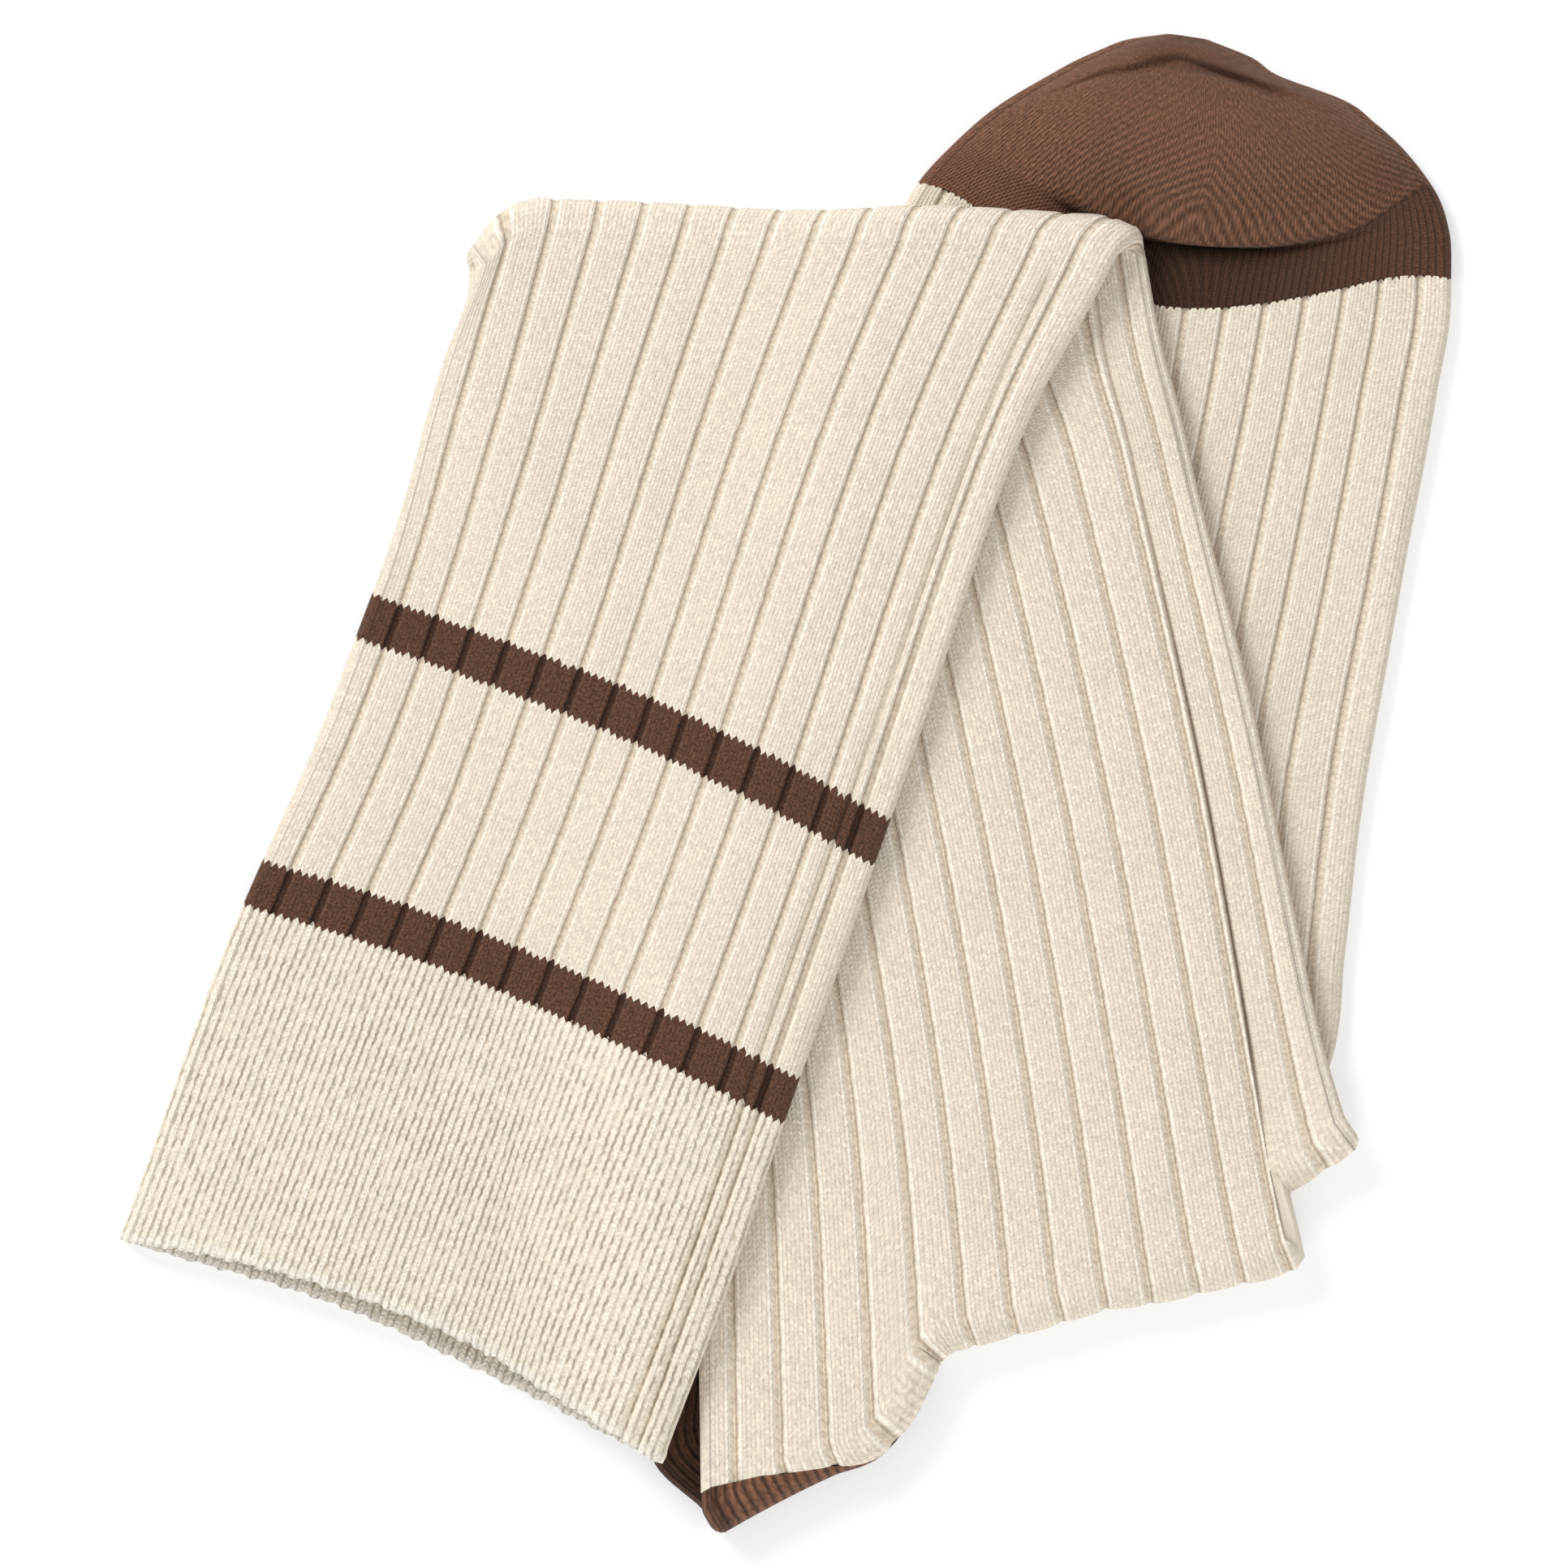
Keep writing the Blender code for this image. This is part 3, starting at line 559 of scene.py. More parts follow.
# How finely the surfaces are divided: round an edge, over a rib or wale, and across a whole face
EDGE_COLUMNS = 8
RIB_PHASES = (0.0, 0.12, 0.24, 0.34, 0.40, 0.44, 0.47, 0.5, 0.53, 0.56, 0.60, 0.66, 0.76, 0.88)
PLAIN_PHASES = (0.0, 0.25, 0.5, 0.75)
HEEL_STEPS = 42
TOE_STEPS = 36
SOLE_STEPS = 28

# A column's wall is 1 in front, -1 behind and 0 on a side edge, where its angle runs from below to above
Column = namedtuple("Column", "across wall angle")


def wall_columns(wall, phases, count):
    """Columns from left to right, repeated count times across a face."""
    places = [(copy + phase) / count for copy in range(count) for phase in phases] + [1.0]
    return [Column(2 * place - 1, wall, 0.0) for place in places]


def with_extra(columns, shares):
    """The columns with more of them at the given shares of the face's width."""
    wall = columns[0].wall
    extra = [Column(2 * share - 1, wall, 0.0) for share in shares]
    kept = [c for c in columns if min(abs(c.across - e.across) for e in extra) > 0.0012]
    return sorted(kept + extra, key=lambda column: column.across)


def edge_columns(side):
    step = math.pi / EDGE_COLUMNS
    return [
        Column(float(side), 0, -math.pi / 2 + step * (place + 0.5)) for place in range(EDGE_COLUMNS)
    ]


def ring(top, bottom):
    return edge_columns(-1) + top + edge_columns(1)[::-1] + bottom[::-1]


def rib_relief(across):
    """How far the ribs' surface lies below their tops: the purl wale between ribs is drawn in."""
    phase = ((1 + across) / 2 * RIBS_PER_FACE) % 1.0
    away = np.abs(phase - 0.5)
    groove = np.exp(-((away / 0.085) ** 4)) * GROOVE_DEPTH
    shoulder = smooth_step((away - 0.10) / 0.16)
    crown = (1 - shoulder) * RIB_CROWN
    return groove + crown


def side_creases(s, across, wall):
    """Pressed creases along the tube's right side: the lower leg's pleat and the upper leg's edge."""
    share = (1 + across) / 2
    lower = smooth_step((s - TOP_START - 0.004) / 0.006)
    lower *= 1 - smooth_step((s - ANKLE_MIDDLE) / 0.004)
    pressed = np.interp(s, PLEAT_DEEPENS, (0.45, 1.0)) * np.interp(s, PLEAT_FADES, (1.0, 0.45))
    pleat = bell(share, PLEAT_COLUMN, 0.0040) * PLEAT_DEPTH * pressed * lower * (wall < 0)
    step = smooth_step((share - PLEAT_COLUMN + 0.002) / 0.004) * PLEAT_STEP * lower * (wall < 0)
    step *= 1 - smooth_step((share - 0.95) / 0.05)
    upper = (1 - smooth_step((s - TOP_START + 0.008) / 0.006)) * (wall > 0)
    wander = EDGE_CREASE + 0.003 * np.sin(s / 0.017)
    edge = bell(share, wander, CREASE_REACH) * EDGE_CREASE_DEPTH * upper
    fading = upper * (1 - smooth_step((s - 0.11) / 0.04))
    second = bell(share, SECOND_CREASE, CREASE_REACH) * SECOND_CREASE_DEPTH * fading
    return pleat + step + edge + second


def slow_waves(s, across, wall):
    """Gentle unevenness of cloth that was folded by hand."""
    return WAVE_HEIGHT * (
        np.sin(s / 0.0131 + 3.1 * across + 1.7 * wall)
        + 0.7 * np.sin(s / 0.0074 - 5.3 * across + wall)
        + 0.5 * np.sin(s / 0.0231 + 9.7 * across)
    )


def drifted(s, across):
    """Where columns lie across the tube: the pleat drifts to the left on its way to the ankle."""
    way = np.clip((s - TOP_END) / LOWER_LENGTH, 0, 1)
    place = PLEAT_AT_TOP + (PLEAT_AT_ANKLE - PLEAT_AT_TOP) * way
    share = np.interp((1 + across) / 2, (0.80, PLEAT_COLUMN, 1.0), (0.0, 1.0, 0.0))
    return across + 2 * (place - PLEAT_COLUMN) * share * smooth_step((s - TOP_START) / FOLD_SPAN)


def surface_points(s, columns, relief):
    """Points of a grid of rows by columns. s is the distance along the tube of each of them."""
    straight_across = np.broadcast_to(np.array([c.across for c in columns]), s.shape)
    across = drifted(s, straight_across)
    wall = np.broadcast_to(np.array([c.wall for c in columns]), s.shape)
    angle = np.broadcast_to(np.array([c.angle for c in columns]), s.shape)
    radius = THICKNESS / 2
    inset = across * (1 - radius / np.maximum(half_width(s.ravel()), THICKNESS).reshape(s.shape))
    middle, rightward, upward = surface_frame(s, inset)
    out = np.where(across < 0, -1.0, 1.0)[..., None] * rightward
    round_edge = out * np.cos(angle)[..., None] + upward * np.sin(angle)[..., None]
    thick = thickness(s.ravel(), inset.ravel()).reshape(s.shape) / 2
    depth = relief(s, straight_across, wall)
    flat = upward * wall[..., None] * (thick - depth)[..., None]
    edge = round_edge * (radius - depth)[..., None]
    points = middle + np.where((wall == 0)[..., None], edge, flat)
    lip = bell(dome_share(s, across), 0.07, 0.06) * table_values(TOE_SEAM, across)[1]
    lip *= (wall > 0) * (s > TOE_START - TOE_BOW)
    points[..., 1] -= DOME_OVERHANG * lip
    return points


def straight(distance):
    return lambda across, wall: np.full(across.shape, distance)


def bowed(distance, front, back):
    return lambda across, wall: distance + (1 - across**2) * np.where(wall < 0, back, front)


def hem_row(across, wall):
    """The open end: a bow in front, and behind it a narrower one that lies towards the left."""
    ripple = 1 + np.sin(across * 81.0) * np.sin(across * 29.0 + wall)
    scallop = HEM_SCALLOP * (1 - across**8) * ripple
    front = FRONT_HEM_BOW * (1 - across**2)
    back = BACK_HEM_BOW * (1 - across**2) ** 2 * (1 - 0.8 * across)
    return np.where(wall < 0, back, front) + scallop


def shifted(row, by):
    return lambda across, wall: row(across, wall) + by


def heel_edge(extent, share_of_rib, start, rest):
    """The heel's border, and beyond the heel a row that lies by rest past the middle of the fold."""

    def row(across, wall):
        share = (1 + across) / 2
        reach = start + extent * np.clip(1 - share / share_of_rib, 0, 1)
        return ANKLE_MIDDLE + np.where(share > HEEL_SHARE + 0.001, rest, reach)

    return row


def toe_row(place):
    """A row across the toe. place is -1 at its start, 0 on the seam and 1 at the tip."""

    def row(across, wall):
        seam = seam_share(across)
        share = seam * (1 + place) if place < 0 else seam + place * (1 - seam)
        bow = TOE_BOW * (1 - across**2) ** 1.8
        return TOE_START - bow + share * (TOE_LENGTH + bow)

    return row


# A station is a row that a piece passes through, with its course's distance from the hem in mm
Station = namedtuple("Station", "row course")
# A piece's end is a rim round an open mouth, a cap over the last row, or joined to its neighbour
Piece = namedtuple(
    "Piece",
    "slot stations columns relief material step stride end closed",
    defaults=(0.0012, 4, "joined", True),
)


def grid_rows(piece, across, wall):
    """Distances along the tube and courses of every row of a piece, about a step apart."""
    distances = []
    courses = []
    for first, last in zip(piece.stations, piece.stations[1:]):
        start = first.row(across, wall)
        end = last.row(across, wall)
        count = max(1, round(np.abs(end - start).max() / piece.step))
        for place in range(count):
            share = place / count
            distances.append(start * (1 - share) + end * share)
            courses.append(first.course * (1 - share) + last.course * share)
    distances.append(piece.stations[-1].row(across, wall))
    courses.append(piece.stations[-1].course)
    return np.array(distances), np.array(courses)


def build_grid(points, closed):
    rows, count = points.shape[:2]
    index = np.arange(rows * count).reshape(rows, count)
    here = index[:-1] if closed else index[:-1, :-1]
    right = np.roll(index, -1, axis=1)[:-1] if closed else index[:-1, 1:]
    ahead = index[1:] if closed else index[1:, :-1]
    ahead_right = np.roll(index, -1, axis=1)[1:] if closed else index[1:, 1:]
    return np.stack((here, right, ahead_right, ahead), axis=-1).reshape(-1, 4)


def cap_faces(points):
    """Faces that close the last row of a ring, from each column to the one opposite."""
    rows, count = points.shape[:2]
    here = EDGE_COLUMNS // 2 + np.arange(count // 2 - 1)
    opposite = (EDGE_COLUMNS - 1 - here) % count
    ahead_opposite = (EDGE_COLUMNS - 2 - here) % count
    return (rows - 1) * count + np.stack((here, here + 1, ahead_opposite, opposite), axis=-1)


def wale_numbers(columns):
    """A number for each column that grows by one from wale to wale, all the way round."""
    numbers = []
    for column in columns:
        share = (1 + column.across) / 2
        if column.wall > 0:
            numbers.append(share * WALES_PER_FACE)
        elif column.wall < 0:
            numbers.append(-share * WALES_PER_FACE)
        elif column.across < 0:
            numbers.append(column.angle / math.pi * 4.0)
        else:
            numbers.append(WALES_PER_FACE - column.angle / math.pi * 4.0 + 2.0)
    return np.array(numbers)


def add_mesh(name, points, faces, uvs):
    mesh = bpy.data.meshes.new(name)
    mesh.from_pydata(points.reshape(-1, 3).tolist(), [], faces.tolist())
    layer = mesh.uv_layers.new(name="knit")
    loops = np.array([loop.vertex_index for loop in mesh.loops])
    layer.data.foreach_set("uv", uvs.reshape(-1, 2)[loops].ravel())
    mesh.shade_smooth()
    mesh.validate()
    made = bpy.data.objects.new(name, mesh)
    bpy.context.scene.collection.objects.link(made)
    return made


def coarser(places, stride):
    """Every stride-th of a list of places, with its last one."""
    kept = list(range(0, places, stride))
    return kept if kept[-1] == places - 1 else kept + [places - 1]


def knitted_piece(piece):
    """An outside surface with relief and a coarser inside one, joined by a rim where the tube is open."""
    across = np.array([c.across for c in piece.columns])
    wall = np.array([c.wall for c in piece.columns])
    s, courses = grid_rows(piece, across, wall)
    rows = coarser(s.shape[0], piece.stride)
    picked = coarser(s.shape[1], piece.stride)
    outside = surface_points(s, piece.columns, piece.relief)
    inner_columns = [piece.columns[place] for place in picked]
    inside = surface_points(
        s[np.ix_(rows, picked)],
        inner_columns,
        lambda s, across, wall: piece.relief(s, across, wall) + WALL,
    )
    outer_total = outside.shape[0] * outside.shape[1]
    faces = [
        build_grid(outside, piece.closed),
        build_grid(inside, piece.closed)[:, ::-1] + outer_total,
    ]
    if piece.end == "cap":
        faces.append(cap_faces(outside))
    if piece.end == "rim":
        here = np.arange(len(piece.columns))
        ahead = np.roll(here, -1)
        faces.append(np.stack((here, here + outer_total, ahead + outer_total, ahead), axis=-1))
    outer_uvs = np.stack(np.broadcast_arrays(wale_numbers(piece.columns), courses[:, None]), axis=-1)
    inner_uvs = np.stack(np.broadcast_arrays(wale_numbers(inner_columns), courses[rows][:, None]), axis=-1)
    points = np.concatenate((outside.reshape(-1, 3), inside.reshape(-1, 3)))
    uvs = np.concatenate((outer_uvs.reshape(-1, 2), inner_uvs.reshape(-1, 2)))
    return add_mesh(f"{piece.slot}_knit", points, np.concatenate(faces), uvs)


# Shading

BEIGE = (0.770, 0.686, 0.562)
# Painted highlight on the ribs' edges
BEIGE_HIGHLIGHT = (0.900, 0.840, 0.725)
BEIGE_PURL = (0.640, 0.535, 0.405)
BEIGE_SHADE = (0.340, 0.250, 0.165)
# Painted shade in the pleat's crease
BEIGE_CREASE_SHADE = (0.180, 0.120, 0.075)
CUFF = (0.770, 0.690, 0.560)
# Painted highlight on the cuff's ribs
CUFF_HIGHLIGHT = (0.900, 0.845, 0.735)
CUFF_SHADE = (0.400, 0.315, 0.215)
# Lighter hem: partly the hem's loose fibres, partly painted light on the back hem, which lies in shade
CUFF_HEM_FLUFF_AND_LIGHT = (0.900, 0.865, 0.785)
BROWN = (0.138, 0.064, 0.037)
BROWN_STRIPE = (0.100, 0.046, 0.027)
# Painted shade in the brown stripes' grooves
BROWN_GROOVE_SHADE = (0.030, 0.011, 0.006)


class Nodes:
    """Short names for making and joining shader nodes."""

    def __init__(self, material):
        material.use_nodes = True
        self.tree = material.node_tree
        self.shader = self.tree.nodes["Principled BSDF"]

    def plug(self, socket, value):
        if isinstance(value, bpy.types.NodeSocket):
            self.tree.links.new(value, socket)
        else:
            socket.default_value = value

    def math(self, operation, first, second=0.0, third=0.0, clamp=False):
        node = self.tree.nodes.new("ShaderNodeMath")
        node.operation = operation
        node.use_clamp = clamp
        for socket, value in zip(node.inputs, (first, second, third)):
            self.plug(socket, value)
        return node.outputs[0]

    def plus(self, first, second):
        return self.math("ADD", first, second)

    def minus(self, first, second):
        return self.math("SUBTRACT", first, second)

    def times(self, first, second):
        return self.math("MULTIPLY", first, second)

    def times_plus(self, value, factor, added):
        return self.math("MULTIPLY_ADD", value, factor, added)

    def wave(self, turns, half=0.5, middle=0.5):
        """A cosine of a number of turns, that reaches half above and below its middle."""
        return self.times_plus(self.math("COSINE", self.times(turns, 2 * math.pi)), half, middle)

    def mix(self, factor, first, second):
        node = self.tree.nodes.new("ShaderNodeMix")
        node.data_type = "RGBA"
        self.plug(node.inputs[0], factor)
        self.plug(node.inputs[6], first if isinstance(first, bpy.types.NodeSocket) else (*first, 1.0))
        self.plug(node.inputs[7], second if isinstance(second, bpy.types.NodeSocket) else (*second, 1.0))
        return node.outputs[2]

    def mix_value(self, factor, first, second):
        node = self.tree.nodes.new("ShaderNodeMix")
        for socket, value in zip(node.inputs[:4], (factor, None, first, second)):
            if value is not None:
                self.plug(socket, value)
        return node.outputs[0]

    def range(self, value, low, high, to_low=0.0, to_high=1.0):
        node = self.tree.nodes.new("ShaderNodeMapRange")
        node.interpolation_type = "SMOOTHSTEP"
        self.plug(node.inputs[0], value)
        for socket, number in zip(node.inputs[1:5], (low, high, to_low, to_high)):
            self.plug(socket, number)
        return node.outputs[0]

    def noise(self, vector, scale, detail=2.0):
        node = self.tree.nodes.new("ShaderNodeTexNoise")
        self.plug(node.inputs["Vector"], vector)
        node.inputs["Scale"].default_value = scale
        node.inputs["Detail"].default_value = detail
        return node.outputs["Fac"]

    def combine(self, x, y):
        node = self.tree.nodes.new("ShaderNodeCombineXYZ")
        for socket, value in zip(node.inputs, (x, y)):
            self.plug(socket, value)
        return node.outputs[0]


def knit_coordinates(nodes):
    uv = nodes.tree.nodes.new("ShaderNodeUVMap")
    uv.uv_map = "knit"
    parts = nodes.tree.nodes.new("ShaderNodeSeparateXYZ")
    nodes.tree.links.new(uv.outputs[0], parts.inputs[0])
    return parts.outputs[0], parts.outputs[1]


def stitch_height(nodes, wale, course):
    """Height of plain knitting: each wale is a column of V stitches with two rounded legs."""
    phase = nodes.math("FRACT", wale)
    away = nodes.math("ABSOLUTE", nodes.times_plus(phase, 2.0, -1.0))
    stitch = nodes.wave(nodes.times_plus(away, STITCH_SLANT, course))
    leg = nodes.math("SINE", nodes.times(away, math.pi))
    gap = nodes.range(away, 0.62, 1.0, 1.0, 0.0)
    return stitch, leg, gap, away


def stripe_mask(nodes, edge, start, height):
    """1 between two courses, given in metres from the hem."""
    above = nodes.math("GREATER_THAN", edge, start * MM)
    below = nodes.math("LESS_THAN", edge, (start + height) * MM)
    return nodes.times(above, below)


def near(nodes, value, middle, inner, outer):
    """1 within inner of the middle, falling to 0 at outer."""
    away = nodes.math("ABSOLUTE", nodes.minus(value, middle))
    return nodes.range(away, inner, outer, 1.0, 0.0)


def wavering(nodes, wale, course_mm, scale, amount):
    """A small shift that differs from wale to wale and drifts along each of them."""
    number = nodes.math("FLOOR", nodes.plus(wale, 0.5))
    drift = nodes.noise(nodes.combine(nodes.times(number, 3.7), course_mm), scale, 1.0)
    return nodes.times(nodes.minus(drift, 0.5), amount)


def rib_yarn(nodes, wale, course_mm, course, relief):
    """Colours and relief of the ribs: the purl wale between two ribs is a ladder of small bars. Painted
    highlight along each rib's edges, a painted shadow line beside each groove, and painted shade in the
    brown stripes' grooves and in the pleat's crease.
    """
    drift = nodes.noise(nodes.combine(0.0, course_mm), 0.35, 2.0)
    wobble = nodes.times_plus(drift, 0.05, -0.025)
    phase = nodes.plus(nodes.math("FRACT", nodes.math("DIVIDE", wale, WALES_PER_RIB)), wobble)
    purl = near(nodes, phase, 0.5, 0.070, 0.100)
    zigzag = nodes.times(nodes.math("ABSOLUTE", nodes.minus(phase, 0.5)), 9.0)
    bars = nodes.wave(nodes.times(nodes.plus(course, zigzag), 0.5), 0.28, 0.55)
    # Painted shadow: a thin dark line along the groove's left side
    line = near(nodes, phase, 0.440, 0.010, 0.034)
    # Painted highlight: lighter lines along both edges of each rib, on the beige and on the brown stripes
    edge_highlights = [near(nodes, phase, middle, 0.010, 0.050) for middle in (0.365, 0.635)]
    lip = nodes.plus(*edge_highlights)
    # Painted shade in the pleat's crease, strongest along the middle of the lower leg
    pleat = near(nodes, wale, -PLEAT_COLUMN * WALES_PER_FACE, 0.06, 0.28)
    beige = nodes.mix(nodes.times(lip, 0.75), BEIGE, BEIGE_HIGHLIGHT)
    beige = nodes.mix(nodes.times(purl, bars), beige, BEIGE_PURL)
    beige = nodes.mix(nodes.times(line, 0.50), beige, BEIGE_SHADE)
    deepens = nodes.range(course_mm, PLEAT_DEEPENS[0] * MM, PLEAT_DEEPENS[1] * MM, 0.22, 0.72)
    fades = nodes.range(course_mm, PLEAT_FADES[0] * MM, PLEAT_FADES[1] * MM, 1.0, 0.12)
    beige = nodes.mix(nodes.times(pleat, nodes.times(deepens, fades)), beige, BEIGE_CREASE_SHADE)
    lit = nodes.mix(nodes.times(lip, 0.35), BROWN_STRIPE, BROWN)
    # Painted shade: the brown stripes go nearly black in the purl grooves and on the shadow line
    dark = nodes.mix(nodes.math("MAXIMUM", nodes.times(purl, 0.7), line), lit, BROWN_GROOVE_SHADE)
    return beige, dark, nodes.times_plus(line, -0.9, relief)


def cuff_yarn(nodes, wale, course_mm, course, relief):
    """Narrow ribs of one wale, whose gaps wander and open and close from stitch to stitch. The gaps carry
    painted shade and the beads on the ribs a painted highlight.
    """
    number = nodes.math("FLOOR", nodes.plus(wale, 0.5))
    along = nodes.combine(nodes.times(number, 5.3), nodes.times(course_mm, 0.6))
    open_here = nodes.noise(along, 0.8, 1.0)
    side = nodes.times_plus(nodes.noise(nodes.combine(number, 0.0), 1.7, 0.0), 6.0, course)
    swing = nodes.times(nodes.math("SINE", nodes.times(side, math.pi)), 0.055)
    place = nodes.plus(nodes.plus(wale, swing), wavering(nodes, wale, course_mm, 0.22, 0.7))
    gap = nodes.math("ABSOLUTE", nodes.minus(nodes.math("FRACT", place), 0.5))
    slit = nodes.range(gap, 0.30, 0.47)
    valley = nodes.times(slit, nodes.range(open_here, 0.38, 0.58, 0.15, 1.0))
    ridge = nodes.range(gap, 0.05, 0.26, 1.0, 0.0)
    bead = nodes.wave(side, 0.35, 0.65)
    slack = nodes.noise(nodes.combine(wale, course_mm), 0.06, 1.0)
    strength = nodes.range(slack, 0.35, 0.65, 0.28, 0.62)
    # Painted highlight on the beads and painted shade in the gaps
    beads = nodes.times(ridge, bead)
    beige = nodes.mix(nodes.times(beads, 0.75), CUFF, CUFF_HIGHLIGHT)
    beige = nodes.mix(nodes.times(valley, strength), beige, CUFF_SHADE)
    # Lighter towards the hem, with a ragged border: partly the hem's fluff, partly painted light on the
    # back hem, which lies in shade
    fluff = nodes.times(nodes.noise(nodes.combine(wale, course_mm), 1.4, 1.0), 2.2)
    hem = nodes.range(nodes.plus(course_mm, fluff), 1.4, 3.4, 0.60, 0.0)
    beige = nodes.mix(hem, beige, CUFF_HEM_FLUFF_AND_LIGHT)
    return beige, BROWN, nodes.times_plus(valley, -1.2, nodes.times_plus(beads, 0.8, relief))


def toe_yarn(nodes, wale, course_mm, relief):
    """The toe: fine ridges that fan out from the dome's middle, with painted shade in their valleys,
    painted shade on the band at its foot under the dome's lip, and painted light on the dome's far part and
    left side.
    """
    side = nodes.minus(wale, TOE_MIDDLE * WALES_PER_FACE)
    on_band = nodes.minus(course_mm, TOE_START * MM)
    past_seam = nodes.minus(on_band, TOE_SPAN * MM / 2)
    away = nodes.math("ABSOLUTE", side)
    left = nodes.times(nodes.times(side, side), 0.0190)
    left = nodes.times_plus(away, 0.25, left)
    right = nodes.times(nodes.math("SQRT", nodes.times_plus(side, side, 3.0)), 0.62)
    fan = nodes.mix_value(nodes.range(side, -1.5, 1.5), left, right)
    spread = nodes.range(side, -34.0, -4.0, 0.35, 1.0)
    ridges = nodes.wave(nodes.times(nodes.times_plus(past_seam, spread, fan), 1 / TOE_RIDGE))
    gather = nodes.times(nodes.range(side, -14.0, 8.0, 0.55, 0.0), on_band)
    wales = nodes.wave(nodes.plus(wale, gather))

    at_left = nodes.range(side, -22.0, -13.0, 1.0, 0.0)
    on_dome = nodes.math("MAXIMUM", nodes.range(past_seam, -0.5, 0.7), at_left)
    low = nodes.range(past_seam, 3.0, 14.0, 1.0, 0.30)
    amount = nodes.mix_value(on_dome, 0.8, low)
    lines = nodes.times(nodes.mix_value(on_dome, wales, ridges), amount)
    # Painted shade on the band in the hollow under the dome's lip, darkest on the left
    band_shade = nodes.range(side, -6.0, 34.0, 0.30, 0.60)
    shade = nodes.mix_value(on_dome, band_shade, 0.93)
    # Painted shade in the valleys between the ridges, deeper near the seam
    valley = nodes.minus(amount, lines)
    shade = nodes.times(shade, nodes.times_plus(valley, -0.26, 1.06))
    # Painted light: the dome's far part and its left side are lighter, as if lit from the upper left
    lit_tip = nodes.range(past_seam, 2.0, 12.0, 1.0, 1.24)
    lit_left = nodes.range(side, -28.0, -12.0, 1.28, 1.0)
    shade = nodes.times(shade, nodes.math("MAXIMUM", lit_tip, lit_left))
    stitches = nodes.wave(nodes.times(wale, 0.5), 0.35, 0.65)
    seam = nodes.times(near(nodes, past_seam, 0.0, 0.15, 0.55), nodes.range(side, 6.0, 14.0))
    stitched = nodes.times_plus(nodes.times(seam, stitches), -0.55, 1.0)
    shade = nodes.times(shade, stitched)
    return shade, nodes.times_plus(lines, 0.85, relief)


def heel_yarn(nodes, wale, relief):
    """The heel: upright ridges on its outside with painted shade between them, and painted shade where it
    lies in the hollow under the leg.
    """
    ridges = nodes.wave(wale)
    # Painted shade on the part in the hollow between the cuff and the leg
    shade = nodes.range(wale, -2.0, 0.5, 0.95, 0.36)
    shade = nodes.times(shade, nodes.times_plus(ridges, 0.45, 0.70))
    return shade, nodes.times_plus(ridges, 1.1, relief)


def brown_share(nodes, wale, course_mm, away):
    """1 where the yarn is brown, between edges that step with each wale."""
    tooth = nodes.times_plus(away, 0.80, -0.40)
    number = nodes.combine(nodes.math("FLOOR", wale), 0.0)
    ragged = nodes.times_plus(nodes.noise(number, 0.9, 0.0), 1.3, -0.65)
    edge = nodes.plus(nodes.plus(course_mm, tooth), ragged)
    low = stripe_mask(nodes, edge, CUFF_HEIGHT, STRIPE_HEIGHT)
    high = stripe_mask(nodes, edge, CUFF_HEIGHT + STRIPE_HEIGHT + BAND_HEIGHT, STRIPE_HEIGHT)
    toe = nodes.math("GREATER_THAN", edge, TOE_START * MM)
    return nodes.math("ADD", nodes.plus(low, high), toe, clamp=True)


